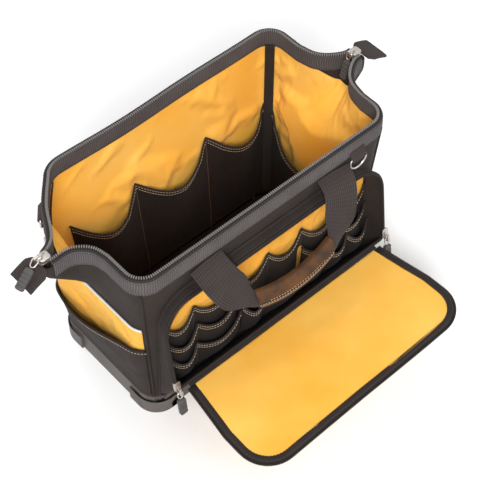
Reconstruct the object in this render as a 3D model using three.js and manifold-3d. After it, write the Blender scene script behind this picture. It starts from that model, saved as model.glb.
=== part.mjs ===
import * as THREE from 'three';
import { mergeVertices } from 'three/addons/utils/BufferGeometryUtils.js';
import Module from 'manifold-3d';

// A wide-mouth zippered tool bag with a drop-down front flap, in millimetres.
// X runs along the bag, the pocket side faces -Y, and Z is up from the middle of the base.

const wasm = await Module();
wasm.setup();

// Named clearances
const seam = 0.3;                 // between pieces that are sewn or lie face to face
const running = 0.6;              // around a ring, slider or pull that moves

// Moulded base
const baseLength = 374;
const baseDepth = 194;
const baseCorner = 28;
const baseHeight = 32;
const trayWall = 3;
const bootProud = 3;              // how far the corner boots stand out
const bootReach = 46;
const bootHeight = 24;

// Bag body
const rimHeight = 302.3;          // top of the folded rim tape
const rimBand = 24;               // height of the rim tape on each side
const mouthLeft = 201;            // half lengths and half depths at the mouth
const mouthRight = 206;
const mouthFront = 108;
const mouthRear = 116;
const mouthCorner = 30;
const bandLeg = 1.2;              // one thickness of rim tape
const wallCloth = 1.6;
const liningCloth = 1;
const boardThickness = 3;
const rodRadius = 1.3;            // spring wire in the fold of the rim

// Nose at each end, where the two halves of the zip come together
const noseTip = 258;
const noseHalf = 13;
const neckLeft = 34;              // how far behind the tip the neck starts to widen
const neckRight = 18;
const slantIn = 15;               // the rear left of the mouth runs slanting to a corner set in this far
const slantCorner = 40;
const slantBow = 4;

// End walls
const accentTop = 196;            // yellow panel and its reflective piping
const accentHalf = 84;
const pipingRadius = 2;
const endPocketLow = 112;         // pocket edge at the rear and at the front
const endPocketHigh = 152;
const endPocketBulge = 15;

// Inner pockets: how high the sewn edges reach, how far the free edges sag and stand out
const rearPocket = { peak: 182, dip: 32, bulge: 22 };
const endInner = { peak: 172, dip: 48, bulge: 18 };

// Main zip
const chainWidth = 4.5;
const chainHeight = 4;
const chainOverhang = 2.1;        // how far the teeth reach in past the rim tape
const sliderLength = 22;
const sliderWidth = 15;
const sliderPlate = 1.6;
const tabWidth = 40;
const tabLength = 31;
const tabThickness = 4;
const tabDroop = 12;

// Slider pulls
const pullLength = 28;
const pullWidth = 11;
const pullThickness = 4.5;
const linkLength = 11;
const linkWire = 1.1;

// Front pocket
const pocketBackHalf = 173;       // where the gusset is sewn on
const pocketFlare = 8;            // how much wider the gusset's front edge is, on each side
const pocketHalf = pocketBackHalf + pocketFlare;
const pocketBelowRim = 54.3;
const pocketTop = rimHeight - pocketBelowRim;
const pocketHinge = 107;
const pocketHingeOut = 138;       // distance of the gusset's lower edge from the bag's middle
const pocketTopOut = 119;
const pocketFoot = 38;            // where the gusset is sewn on below
const pocketCorner = 46;
const pocketFootCorner = 8;
const gussetCloth = 2.2;
const pocketChain = 3;
const organiserCloth = 1.6;
const organiserRise = 22;         // where the organiser sheets start above the pocket's foot
const backCloth = 1;

// Drop-down flap
const flapLength = 150;
const flapInside = 6;             // the flap is narrower than the gusset's edge on each side
const flapHalf = pocketHalf - flapInside;
const flapCorner = 43;
const flapThickness = 3;
const bindingWidth = 12;
const bindingThickness = 4.6;
const hingeOut = 6.4;             // hinge line in front of the gusset's edge

// Handles
const strapWidth = 50;
const strapThickness = 2.6;
const strapSpread = 103;          // middle of each strap root from the bag's middle
const gripLength = 124;
const gripHeight = 28;
const foldedWidth = 16;           // the webbing folded together inside the grip
const gripThickness = 14;

// D-rings
const ringInside = 25;
const ringWire = 1.75;
const ringDrop = 19;
const ringLoopWidth = 24;
const frontRingAt = 144;

const clamp = (t, low, high) => Math.min(high, Math.max(low, t));
const clamp01 = (t) => clamp(t, 0, 1);
const mix = (a, b, t) => a + (b - a) * t;
const ease = (t) => t * t * (3 - 2 * t);
const v3 = (x, y, z) => new THREE.Vector3(x, y, z);

// Geometry from loose triangles or an index, with its faces turned outwards
function closed(positions, index) {
  let volume = 0;
  const p = (i) => v3(positions[3 * i], positions[3 * i + 1], positions[3 * i + 2]);
  for (let i = 0; i < index.length; i += 3) {
    volume += p(index[i]).dot(p(index[i + 1]).cross(p(index[i + 2])));
  }
  if (volume < 0) index.reverse();
  const geometry = new THREE.BufferGeometry();
  geometry.setAttribute('position', new THREE.Float32BufferAttribute(positions, 3));
  geometry.setIndex(index);
  return geometry;
}

// A sheet with thickness between two surfaces of (u, v), each from 0 to 1
function slab(nu, nv, outer, inner, around = false) {
  const cols = around ? nu : nu + 1;
  const rows = nv + 1;
  const positions = [];
  for (const surface of [outer, inner]) {
    for (let j = 0; j < rows; j++) {
      for (let i = 0; i < cols; i++) positions.push(...surface(i / nu, j / nv).toArray());
    }
  }
  const id = (face, i, j) => face * rows * cols + j * cols + (i % cols);
  const index = [];
  const quad = (a, b, c, d) => index.push(a, b, c, a, c, d);
  for (let j = 0; j < nv; j++) {
    for (let i = 0; i < nu; i++) {
      quad(id(0, i, j), id(0, i + 1, j), id(0, i + 1, j + 1), id(0, i, j + 1));
      quad(id(1, i, j), id(1, i, j + 1), id(1, i + 1, j + 1), id(1, i + 1, j));
    }
  }
  for (let i = 0; i < nu; i++) {
    quad(id(0, i, 0), id(1, i, 0), id(1, i + 1, 0), id(0, i + 1, 0));
    quad(id(0, i, nv), id(0, i + 1, nv), id(1, i + 1, nv), id(1, i, nv));
  }
  if (!around) {
    for (let j = 0; j < nv; j++) {
      quad(id(0, 0, j), id(0, 0, j + 1), id(1, 0, j + 1), id(1, 0, j));
      quad(id(0, nu, j), id(1, nu, j), id(1, nu, j + 1), id(0, nu, j + 1));
    }
  }
  return closed(positions, index);
}

// A bar of constant section: stations is a list of functions from a profile point to a place
function bar(stations, profile, loop = false) {
  const n = profile.length;
  const positions = [];
  for (const place of stations) for (const p of profile) positions.push(...place(p).toArray());
  const index = [];
  const spans = loop ? stations.length : stations.length - 1;
  for (let j = 0; j < spans; j++) {
    const a = j * n;
    const b = ((j + 1) % stations.length) * n;
    for (let i = 0; i < n; i++) {
      const k = (i + 1) % n;
      index.push(a + i, a + k, b + k, a + i, b + k, b + i);
    }
  }
  if (!loop) {
    const flat = THREE.ShapeUtils.triangulateShape(profile.map((p) => new THREE.Vector2(...p)), []);
    const turned = THREE.ShapeUtils.area(profile.map((p) => new THREE.Vector2(...p))) < 0;
    const last = (stations.length - 1) * n;
    for (const [a, b, c] of flat) {
      const [x, y] = turned ? [b, c] : [c, b];
      index.push(a, x, y);
      index.push(last + a, last + y, last + x);
    }
    if (turned) {
      for (let i = 0; i < spans * n * 6; i += 3) [index[i], index[i + 1]] = [index[i + 1], index[i]];
    }
  }
  return closed(positions, index);
}

// Solids for joining and cutting
function solid(geometry) {
  const bare = new THREE.BufferGeometry();
  bare.setAttribute('position', geometry.getAttribute('position'));
  if (geometry.index) bare.setIndex(geometry.index);
  const merged = mergeVertices(bare, 1e-3);
  return new wasm.Manifold(new wasm.Mesh({
    numProp: 3,
    vertProperties: Float32Array.from(merged.getAttribute('position').array),
    triVerts: Uint32Array.from(merged.index.array),
  }));
}

function geometryOf(manifold) {
  const mesh = manifold.getMesh();
  const geometry = new THREE.BufferGeometry();
  geometry.setAttribute('position', new THREE.BufferAttribute(mesh.vertProperties.slice(), 3));
  geometry.setIndex(new THREE.BufferAttribute(mesh.triVerts.slice(), 1));
  return geometry;
}

function box(x0, x1, y0, y1, z0, z1) {
  const geometry = new THREE.BoxGeometry(x1 - x0, y1 - y0, z1 - z0);
  return geometry.translate((x0 + x1) / 2, (y0 + y1) / 2, (z0 + z1) / 2);
}

function roundedRectangle(halfX, halfY, r) {
  const shape = new THREE.Shape();
  shape.moveTo(-halfX + r, -halfY);
  shape.lineTo(halfX - r, -halfY);
  shape.absarc(halfX - r, -halfY + r, r, -Math.PI / 2, 0);
  shape.lineTo(halfX, halfY - r);
  shape.absarc(halfX - r, halfY - r, r, 0, Math.PI / 2);
  shape.lineTo(-halfX + r, halfY);
  shape.absarc(-halfX + r, halfY - r, r, Math.PI / 2, Math.PI);
  shape.lineTo(-halfX, -halfY + r);
  shape.absarc(-halfX + r, -halfY + r, r, Math.PI, 1.5 * Math.PI);
  return shape;
}

function plate(halfX, halfY, r, z0, z1, curveSegments = 5) {
  const shape = roundedRectangle(halfX, halfY, r);
  const geometry = new THREE.ExtrudeGeometry(shape, { depth: z1 - z0, bevelEnabled: false, curveSegments });
  return geometry.translate(0, 0, z0);
}

const group = new THREE.Group();

function add(name, geometry, colour, roughness, metalness = 0, parent = group) {
  const material = new THREE.MeshStandardMaterial({ color: colour, roughness, metalness });
  const mesh = new THREE.Mesh(geometry, material);
  mesh.name = name;
  parent.add(mesh);
  return mesh;
}

const black = 0x4a4441;
const darkLining = 0x231d1a;
const yellow = 0xf6b33c;
const tapeGrey = 0x6a6562;
const plastic = 0x5a514e;
const steel = 0xb9b9b6;
const rubber = 0x5f6260;
const leather = 0x5a4632;
const reflective = 0xe8e8e6;

// Outline of the bag at a height. side is -1 or 1 along X and Y, and s runs from 0 at the middle
// of an end, through 1 at the corner seam, to 2 at the middle of the front or rear.
function roundedOutline(halfX, halfY, r, s) {
  const arc = (r * Math.PI) / 4;
  if (s <= 1) {
    const d = s * (halfY - r + arc);
    if (d <= halfY - r) return [halfX, d];
    const a = (d - halfY + r) / r;
    return [halfX - r + r * Math.cos(a), halfY - r + r * Math.sin(a)];
  }
  const d = (s - 1) * (halfX - r + arc);
  if (d >= arc) return [halfX - r - (d - arc), halfY];
  const a = Math.PI / 4 + d / r;
  return [halfX - r + r * Math.cos(a), halfY - r + r * Math.sin(a)];
}

// The nose: from its tip back along one flank of the neck to the straight part of the end
function noseCurve(flank) {
  const tip = [
    [noseTip, 0], [noseTip, noseHalf * 0.6], [noseTip - 4, noseHalf - 0.6], [noseTip - 10, noseHalf],
  ];
  return new THREE.CatmullRomCurve3([...tip, ...flank].map(([x, y]) => v3(x, y, 0)), false, 'centripetal');
}
function neck(behind, half, spread) {
  const x = noseTip - behind;
  return noseCurve([
    [x, noseHalf + 0.5], [mix(x, half, 0.45), noseHalf + spread * 0.3],
    [mix(x, half, 0.82), noseHalf + spread * 0.75], [half, noseHalf + spread * 1.5],
  ]);
}
function slant(half) {
  const from = [noseTip - 25, noseHalf + 8];
  const to = roundedOutline(half, mouthRear, slantCorner, 1);
  const run = Math.hypot(to[0] - from[0], to[1] - from[1]);
  const bow = [((to[1] - from[1]) / run) * slantBow, ((from[0] - to[0]) / run) * slantBow];
  return noseCurve([from, [mix(from[0], to[0], 0.5) + bow[0], mix(from[1], to[1], 0.5) + bow[1]], to]);
}
const noseShare = 0.62;           // part of an end's outline that a neck takes up
const spreads = { left: 22, right: 30 };

// The mouth's outline in each quarter: half length, corner, and the curve from the tip
const leftFront = { half: mouthLeft, corner: mouthCorner, nose: neck(neckLeft, mouthLeft, spreads.left) };
const leftRear = { half: mouthLeft - slantIn, corner: slantCorner, nose: slant(mouthLeft - slantIn) };
const right = { half: mouthRight, corner: mouthCorner, nose: neck(neckRight, mouthRight, spreads.right) };
const quarter = (sx, sy) => (sx > 0 ? right : sy > 0 ? leftRear : leftFront);

function mouthOutline(sx, sy, s, halfY) {
  const { half, corner, nose } = quarter(sx, sy);
  if (s >= 1) return roundedOutline(half, halfY, corner, s);
  const share = nose === leftRear.nose ? 1 : noseShare;
  if (s < share) {
    const p = nose.getPointAt(s / share);
    return [p.x, p.y];
  }
  const from = nose.getPointAt(1).y;
  const arc = (corner * Math.PI) / 4;
  const length = halfY - corner - from + arc;
  const d = from + ((s - share) / (1 - share)) * length;
  return roundedOutline(half, halfY, corner, d / (halfY - corner + arc));
}

const bodyBase = { x: baseLength / 2 - trayWall - seam, y: baseDepth / 2 - trayWall - seam };
const wallIn = bandLeg + seam;    // the rim tape lies outside the wall
const bandFoot = rimHeight - rimBand;
const trayFloor = trayWall;
const wallFoot = trayFloor + seam;

const noseFoot = 0.68;            // share of the height at which the nose starts to stand out
function outlinePoint(sx, sy, s, z) {
  const k = clamp01((z - baseHeight) / (bandFoot - baseHeight));
  const halfY = sy < 0 ? mouthFront : mouthRear;
  const halfX = sx < 0 ? mouthLeft : mouthRight;
  const low = roundedOutline(bodyBase.x + wallIn, bodyBase.y + wallIn, baseCorner - trayWall + wallIn, s);
  const plain = roundedOutline(halfX, halfY, mouthCorner, s);
  const nosed = mouthOutline(sx, sy, s, halfY);
  const swell = clamp01((k - noseFoot) / (1 - noseFoot)) ** 1.5;
  const x = mix(low[0], plain[0], k) + (nosed[0] - plain[0]) * swell;
  const y = mix(low[1], plain[1], k) + (nosed[1] - plain[1]) * swell;
  return [sx * x, sy * y];
}

// A point of the body, moved in from the outline by inset along the outline's normal
function bodyPoint(sx, sy, s, z, inset) {
  const step = 0.01;
  const [x0, y0] = outlinePoint(sx, sy, clamp(s - step, 0, 2), z);
  const [x1, y1] = outlinePoint(sx, sy, clamp(s + step, 0, 2), z);
  const [x, y] = outlinePoint(sx, sy, s, z);
  let [nx, ny] = [y1 - y0, x0 - x1];
  const length = Math.hypot(nx, ny);
  [nx, ny] = [nx / length, ny / length];
  if (nx * sx + ny * sy < 0) [nx, ny] = [-nx, -ny];
  if (s === 0) [nx, ny] = [sx, 0];
  if (s === 2) [nx, ny] = [0, sy];
  return v3(x - nx * inset, y - ny * inset, z);
}

// Every sheet of the body is sampled at the same places round it and at the same levels, so that
// layers stay parallel: between them a point lies on the straight line from one to the next.
const roundStops = [
  0, 0.05, 0.1, 0.15, 0.27, 0.38, 0.5, 0.62, 0.82, 0.91, 1, 1.09, 1.18, 1.6, 2,
];
const pipingLevel = accentTop + pipingRadius + seam;
const wallTop = rimHeight - 5;
const levels = [wallFoot, baseHeight, 150, pipingLevel, 240, bandFoot, wallTop];

function bracket(list, value) {
  let i = 0;
  while (i < list.length - 2 && value > list[i + 1]) i++;
  return [list[i], list[i + 1], (value - list[i]) / (list[i + 1] - list[i])];
}

const stored = new Map();
function cornerOf(sx, sy, s, z, inset) {
  const key = [sx, sy, s, z, inset].join();
  if (!stored.has(key)) stored.set(key, bodyPoint(sx, sy, s, z, inset));
  return stored.get(key).clone();
}

function facetPoint(sx, sy, s, z, inset) {
  const [s0, s1, a] = bracket(roundStops, s);
  const level = clamp(z, levels[0], levels.at(-1));
  const [z0, z1, b] = bracket(levels, level);
  const low = cornerOf(sx, sy, s0, z0, inset).lerp(cornerOf(sx, sy, s1, z0, inset), a);
  const high = cornerOf(sx, sy, s0, z1, inset).lerp(cornerOf(sx, sy, s1, z1, inset), a);
  const p = low.lerp(high, b);
  p.z = z;
  return p;
}

// t from -1 to 1 across an end, front to rear, or along the front or rear, left to right
const endPoint = (sx, t, z, inset) => facetPoint(sx, t < 0 ? -1 : 1, Math.abs(t), z, inset);
const sidePoint = (sy, t, z, inset) => facetPoint(t < 0 ? -1 : 1, sy, 2 - Math.abs(t), z, inset);
const endStops = roundStops.filter((s) => s <= 1);
const sideStops = roundStops.filter((s) => s >= 1).map((s) => 2 - s).reverse();

// The places from -reach to reach at which a sheet has its columns
function columnsTo(stops, reach) {
  const half = stops.filter((t) => t > 0 && t < reach - 0.01);
  return [-reach, ...half.map((t) => -t).reverse(), 0, ...half, reach];
}
const rowsBetween = (z0, z1) => [z0, ...levels.filter((z) => z > z0 + 1 && z < z1 - 1), z1];

// A panel of cloth lying on the body between two levels
function wallPanel(point, ts, z0, z1, outerInset, thickness) {
  const rows = rowsBetween(z0, z1);
  const surface = (inset) => (u, v) => {
    return point(ts[Math.round(u * (ts.length - 1))], rows[Math.round(v * (rows.length - 1))], inset);
  };
  return slab(ts.length - 1, rows.length - 1, surface(outerInset), surface(outerInset + thickness));
}

// Moulded base tray with its four corner boots
function baseTray() {
  let tray = solid(plate(baseLength / 2, baseDepth / 2, baseCorner, 0, baseHeight));
  const bootShell = solid(plate(
    baseLength / 2 + bootProud, baseDepth / 2 + bootProud, baseCorner + bootProud, 0, bootHeight));
  for (const sx of [-1, 1]) {
    for (const sy of [-1, 1]) {
      const x = [sx * (baseLength / 2 - bootReach), sx * (baseLength / 2 + 2 * bootProud)].sort((a, b) => a - b);
      const y = [sy * (baseDepth / 2 - bootReach), sy * (baseDepth / 2 + 2 * bootProud)].sort((a, b) => a - b);
      tray = tray.add(bootShell.intersect(solid(box(...x, ...y, -1, bootHeight + 1))));
    }
  }
  const inside = plate(
    baseLength / 2 - trayWall, baseDepth / 2 - trayWall, baseCorner - trayWall, trayFloor, baseHeight + 1);
  return geometryOf(tray.subtract(solid(inside)));
}
add('base_tray', baseTray(), plastic, 0.55);

const sides = { front: -1, rear: 1 };
const ends = { left: -1, right: 1 };
const liningIn = wallIn + wallCloth + seam;
const boardIn = wallIn + wallCloth + 5 * seam;
const endTs = columnsTo(endStops, 1 - seam / 100);
const sideTs = columnsTo(sideStops, 1 - seam / 200);
for (const [name, sy] of Object.entries(sides)) {
  const point = (t, z, inset) => sidePoint(sy, t, z, inset);
  add(`${name}_wall`, wallPanel(point, sideTs, wallFoot, wallTop, wallIn, wallCloth), black, 0.9);
}
for (const [name, sx] of Object.entries(ends)) {
  const point = (t, z, inset) => endPoint(sx, t, z, inset);
  add(`${name}_end_wall`, wallPanel(point, endTs, wallFoot, wallTop, wallIn, wallCloth), black, 0.9);
}

// Stiff board in the bottom, with the linings standing on it
function bottomBoard() {
  const halfX = bodyBase.x + wallIn - boardIn;
  const halfY = bodyBase.y + wallIn - boardIn;
  return plate(halfX, halfY, baseCorner - trayWall + wallIn - boardIn, wallFoot, wallFoot + boardThickness);
}
add('bottom_board', bottomBoard(), darkLining, 0.9);

const liningFoot = wallFoot + boardThickness + seam;
for (const [name, sy] of Object.entries(sides)) {
  const point = (t, z, inset) => sidePoint(sy, t, z, inset);
  add(`${name}_lining`, wallPanel(point, sideTs, liningFoot, wallTop, liningIn, liningCloth), yellow, 0.8);
}
for (const [name, sx] of Object.entries(ends)) {
  const point = (t, z, inset) => endPoint(sx, t, z, inset);
  add(`${name}_lining`, wallPanel(point, endTs, liningFoot, wallTop, liningIn, liningCloth), yellow, 0.8);
}

// Rim: folded tape over the wall's top, a spring wire in its fold, and the zip's teeth on top
const bandWidth = 2 * bandLeg + wallCloth + liningCloth + 3 * seam;
const noseStart = 0.15;           // the tape, wire and teeth of each half begin in the neck

function rimStations(sy) {
  const half = roundStops.filter((s) => s >= noseStart);
  const left = half.map((s) => [-1, s]);
  const right = half.slice(0, -1).map((s) => [1, s]).reverse();
  return [...left, ...right].map(([sx, s]) => ([inset, z]) => {
    const p = facetPoint(sx, sy, s, bandFoot, inset);
    return v3(p.x, p.y, z);
  });
}

const tapeProfile = [
  [0, bandFoot], [bandLeg, bandFoot], [bandLeg, rimHeight - bandLeg], [bandWidth - bandLeg, rimHeight - bandLeg],
  [bandWidth - bandLeg, bandFoot], [bandWidth, bandFoot], [bandWidth, rimHeight - 0.6],
  [bandWidth - 1, rimHeight], [1, rimHeight], [0, rimHeight - 0.6],
];
const rodProfile = [...Array(6).keys()].map((i) => {
  const a = (i * Math.PI) / 3 + Math.PI / 6;
  const z = (wallTop + rimHeight - bandLeg) / 2;
  return [bandWidth / 2 + rodRadius * Math.cos(a), z + rodRadius * Math.sin(a)];
});
const chainIn = bandWidth + chainOverhang;
const chainFoot = rimHeight + seam;
const chainProfile = [
  [chainIn - chainWidth, chainFoot], [chainIn, chainFoot], [chainIn, chainFoot + chainHeight - 0.6],
  [chainIn - 0.6, chainFoot + chainHeight], [chainIn - chainWidth + 0.6, chainFoot + chainHeight],
  [chainIn - chainWidth, chainFoot + chainHeight - 0.6],
];
for (const [name, sy] of Object.entries(sides)) {
  add(`${name}_rim_tape`, bar(rimStations(sy), tapeProfile), tapeGrey, 0.85);
  add(`${name}_rim_rod`, bar(rimStations(sy), rodProfile), steel, 0.4, 1);
  add(`${name}_zip_chain`, bar(rimStations(sy), chainProfile), 0x55504e, 0.5);
}

// End walls: yellow panel, reflective piping along its top, and the open pocket below
function endPocketEdge(y) {
  return mix(endPocketHigh, endPocketLow, ease(clamp01((y + 70) / 120)));
}
const accentT = accentHalf / (baseDepth / 2);
const accentFoot = baseHeight + 2;
for (const [name, sx] of Object.entries(ends)) {
  const point = (t, z, inset) => endPoint(sx, t, z, inset);
  const ts = columnsTo(endStops, accentT);
  const thick = wallIn - 2 * seam;
  add(`${name}_end_accent`, wallPanel(point, ts, accentFoot, accentTop, seam, thick), yellow, 0.7);

  const stations = ts.map((t) => ([a, b]) => {
    return endPoint(sx, t, pipingLevel, wallIn - 2 * seam - pipingRadius + a).add(v3(0, 0, b));
  });
  const round = [...Array(8).keys()].map((i) => {
    return [pipingRadius * Math.cos((i * Math.PI) / 4), pipingRadius * Math.sin((i * Math.PI) / 4)];
  });
  add(`${name}_reflective_piping`, bar(stations, round), reflective, 0.4);

  const pocket = (out) => (u, v) => {
    const t = ts[Math.round(u * (ts.length - 1))];
    const share = (t + accentT) / (2 * accentT);
    const z = mix(accentFoot, endPocketEdge(endPoint(sx, t, baseHeight, 0).y), v);
    const p = endPoint(sx, t, z, -out);
    p.x += sx * endPocketBulge * Math.sin(Math.PI * share) ** 0.7 * ease(v);
    return p;
  };
  add(`${name}_end_pocket`, slab(ts.length - 1, 3, pocket(organiserCloth), pocket(0)), black, 0.9);
}

// Inner pockets: one black sheet behind the rear wall's lining, stitched into three, and one on each end
const innerIn = liningIn + liningCloth + seam;
const innerFoot = liningFoot;
const innerRows = 4;              // the first row ends where the walls start to lean out
function scallop(u, seams) {
  let k = 0;
  while (k < seams.length - 2 && u > seams[k + 1]) k++;
  return Math.sin((Math.PI * (u - seams[k])) / (seams[k + 1] - seams[k]));
}
function innerPocket(point, ts, seams, { peak, dip, bulge }) {
  const sheet = (extra) => (u, v) => {
    const t = ts[Math.round(u * (ts.length - 1))];
    const swell = scallop((t - ts[0]) / (ts.at(-1) - ts[0]), seams);
    const rise = clamp01((v * innerRows - 1) / (innerRows - 1));
    const z = v === 0 ? innerFoot : mix(baseHeight, peak - dip * swell, rise);
    return point(t, z, innerIn + extra + bulge * swell * rise);
  };
  return slab(ts.length - 1, innerRows, sheet(0), sheet(organiserCloth));
}
const rearPoint = (t, z, inset) => sidePoint(1, t, z, inset);
const rearSeams = [0, 0.32, 0.68, 1];
const rearTs = [...Array(26).keys()].map((i) => mix(-0.8, 0.97, i / 25));
add('rear_inner_pockets', innerPocket(rearPoint, rearTs, rearSeams, rearPocket), darkLining, 0.9);
const endInnerTs = columnsTo(endStops, 0.9);
for (const [name, sx] of Object.entries(ends)) {
  const point = (t, z, inset) => endPoint(sx, t, z, inset);
  add(`${name}_inner_pocket`, innerPocket(point, endInnerTs, [0, 1], endInner), darkLining, 0.9);
}

// End tabs of folded webbing that close off the zip
function endTab(sx) {
  const rise = rimHeight - 4.5;
  const surface = (face) => (u, v) => {
    const out = noseTip - wallIn + seam + tabLength * u;
    const width = mix(0.72, 1, clamp01(u * 4)) * tabWidth;
    return v3(sx * out, (v - 0.5) * width, rise - tabDroop * u ** 1.5 + face);
  };
  return slab(6, 4, surface(tabThickness / 2), surface(-tabThickness / 2));
}
for (const [name, sx] of Object.entries(ends)) add(`${name}_zip_tab`, endTab(sx), black, 0.9);

// Zip slider: two plates joined by a wedge, with a bridge for the pull. It runs along local X
// and its origin is at the middle of the teeth.
const bridgeHeight = 6;
const bridgeLength = 7;
const bridgeHalf = 1.6;
const eyeAbove = 2.7;             // pivot above the top plate
const pivotPast = 1.4;            // pivot past the plate's end
function sliderBody(length, width, gapHeight, under) {
  const half = gapHeight / 2;
  const front = length / 2 + pivotPast + linkWire + running;
  const back = length / 2 - bridgeLength;
  const foot = half + sliderPlate;
  const top = solid(plate(length / 2, width / 2, width * 0.35, half, half + sliderPlate, 3));
  const bridge = box(back, front + bridgeHalf, -bridgeHalf, bridgeHalf, half, foot + bridgeHeight);
  const hole = box(back + bridgeHalf, front, -width, width, foot, foot + bridgeHeight - bridgeHalf);
  return geometryOf(top.add(solid(bridge)).subtract(solid(hole)).add(under));
}
const chainMiddle = chainFoot + chainHeight / 2;
const mainGap = chainHeight + 2 * seam;
function mainSlider() {
  const half = mainGap / 2;
  const lowerHalf = noseHalf - bandWidth - 2 * seam;
  const low = plate(sliderLength / 2, lowerHalf, lowerHalf * 0.6, -half - sliderPlate, -half, 3);
  const wedge = box(-sliderLength / 2 + 1, sliderLength / 2 - 3, -1.5, 1.5, -half - 0.5, half + 0.5);
  return sliderBody(sliderLength, sliderWidth, mainGap, solid(low).add(solid(wedge)));
}
const sliderAt = noseTip - 9.5;

// Pull: a wire link through the bridge and a ribbed rubber grip moulded on it. It lies along
// local +X from the pivot in the bridge's eye.
function pullLink() {
  const half = 3.9;
  const bend = 0.6;
  const points = [
    [bend, -half], [linkLength - bend, -half + 1.4], [linkLength - bend, half - 1.4], [bend, half],
  ].map(([x, y]) => v3(x, y, 0));
  const path = new THREE.CatmullRomCurve3(points, true, 'catmullrom', 0.35);
  const count = 12;
  const stations = [...Array(count).keys()].map((i) => {
    const p = path.getPointAt(i / count);
    const t = path.getTangentAt(i / count);
    const side = v3(-t.y, t.x, 0);
    return ([a, b]) => v3(p.x + side.x * a, p.y + side.y * a, b);
  });
  const profile = [...Array(6).keys()].map((i) => {
    return [linkWire * Math.cos((i * Math.PI) / 3), linkWire * Math.sin((i * Math.PI) / 3)];
  });
  return bar(stations, profile, true);
}
function pullGrip() {
  const start = linkLength + linkWire + running;
  const half = pullThickness / 2;
  let grip = solid(plate(pullLength / 2, pullWidth / 2, 3, -half, half, 3));
  const ribs = 4;
  for (let i = 0; i < ribs; i++) {
    const x = mix(-pullLength / 2 + 7, pullLength / 2 - 6, i / (ribs - 1));
    for (const face of [1, -1]) {
      const groove = box(x, x + 1.6, -pullWidth, pullWidth, half - 0.7, half + 1);
      if (face < 0) groove.rotateX(Math.PI);
      grip = grip.subtract(solid(groove));
    }
  }
  return geometryOf(grip).translate(start + pullLength / 2, 0, 0);
}
function addPull(name, parent) {
  add(`${name}_pull_link`, pullLink(), steel, 0.35, 1, parent);
  add(`${name}_pull_grip`, pullGrip(), rubber, 0.7, 0, parent);
}

// A slider at a place, running along local X, with its pull turned about the bridge
function addSlider(name, geometry, length, gapHeight, place, frame, [turn, slew]) {
  const holder = new THREE.Group();
  holder.position.copy(place);
  holder.quaternion.setFromRotationMatrix(frame);
  group.add(holder);
  add(`${name}_slider`, geometry, steel, 0.35, 1, holder);
  const hang = new THREE.Group();
  hang.position.set(length / 2 + pivotPast, 0, gapHeight / 2 + sliderPlate + eyeAbove);
  hang.rotation.set(0, turn, slew, 'ZYX');
  holder.add(hang);
  addPull(name, hang);
}
const along = (x, y, z) => new THREE.Matrix4().makeBasis(x, y, z);
const inward = along(v3(-1, 0, 0), v3(0, -1, 0), v3(0, 0, 1));
const pullTurns = { left: [0.41, 0.3], right: [1.35, 0] };
for (const [name, sx] of Object.entries(ends)) {
  const place = v3(sx * sliderAt, 0, chainMiddle);
  addSlider(name, mainSlider(), sliderLength, mainGap, place, inward, pullTurns[name]);
}

// Front pocket: a yellow back panel, a black gusset round it, an organiser, and a zip on its edge
function frontFace(z) {
  return sidePoint(-1, 0, z, wallIn).y;
}
// The gusset's outline as points, square-ish below and round at the top
const footSteps = 2;
const topSteps = 6;
function loopOf(halfX, z0, z1, r, rFoot) {
  const arc = (cx, cz, radius, from, steps) => [...Array(steps + 1).keys()].map((i) => {
    const a = from + (i * Math.PI) / 2 / steps;
    return [cx + radius * Math.cos(a), cz + radius * Math.sin(a)];
  });
  const foot = arc(halfX - rFoot, z0 + rFoot, rFoot, -Math.PI / 2, footSteps);
  const top = arc(halfX - r, z1 - r, r, 0, topSteps);
  const side = [1 / 3, 2 / 3].map((t) => [halfX, mix(z0 + rFoot, z1 - r, t)]);
  const right = [[halfX / 2, z0], ...foot, ...side, ...top, [halfX / 2, z1]];
  const left = right.map(([x, z]) => [-x, z]).reverse();
  return [[0, z0], ...right, [0, z1], ...left];
}
const rimLean = (pocketHingeOut - pocketTopOut) / (pocketTop - pocketHinge);
const rimFace = (z) => -(pocketHingeOut - (z - pocketHinge) * rimLean);
function gusset() {
  const sheet = (grow) => {
    const back = loopOf(
      pocketBackHalf - grow, pocketFoot + grow, pocketTop + 3 - grow, pocketCorner - grow, pocketFootCorner - grow);
    const front = rimLoop(grow);
    return (u, v) => {
      const i = Math.round(u * front.length) % front.length;
      const [x, z] = [mix(back[i][0], front[i][0], v), mix(back[i][1], front[i][1], v)];
      return v3(x, mix(frontFace(back[i][1]) - seam, rimFace(front[i][1]), v), z);
    };
  };
  return slab(rimLoop(0).length, 2, sheet(0), sheet(gussetCloth), true);
}
function rimLoop(grow) {
  return loopOf(
    pocketHalf - grow, pocketHinge + grow, pocketTop - grow, pocketCorner - grow, pocketFootCorner - grow);
}
add('pocket_gusset', gusset(), black, 0.9);

// Half width inside the gusset at a height, narrower where its top corners are round
function insideHalf(z, gap) {
  const r = pocketCorner - gussetCloth;
  const over = clamp01((z - (pocketTop - pocketCorner)) / r);
  return pocketBackHalf - pocketCorner + r * Math.sqrt(1 - over * over) - gap;
}
function pocketPanel() {
  const surface = (out) => (u, v) => {
    const z = mix(pocketFoot + gussetCloth + 8, pocketTop - gussetCloth - 4, v);
    const half = insideHalf(z, 3);
    return v3(mix(-half, half, u), frontFace(z) - seam - out, z);
  };
  return slab(4, 8, surface(backCloth), surface(0));
}
add('pocket_back_panel', pocketPanel(), yellow, 0.7);

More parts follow.
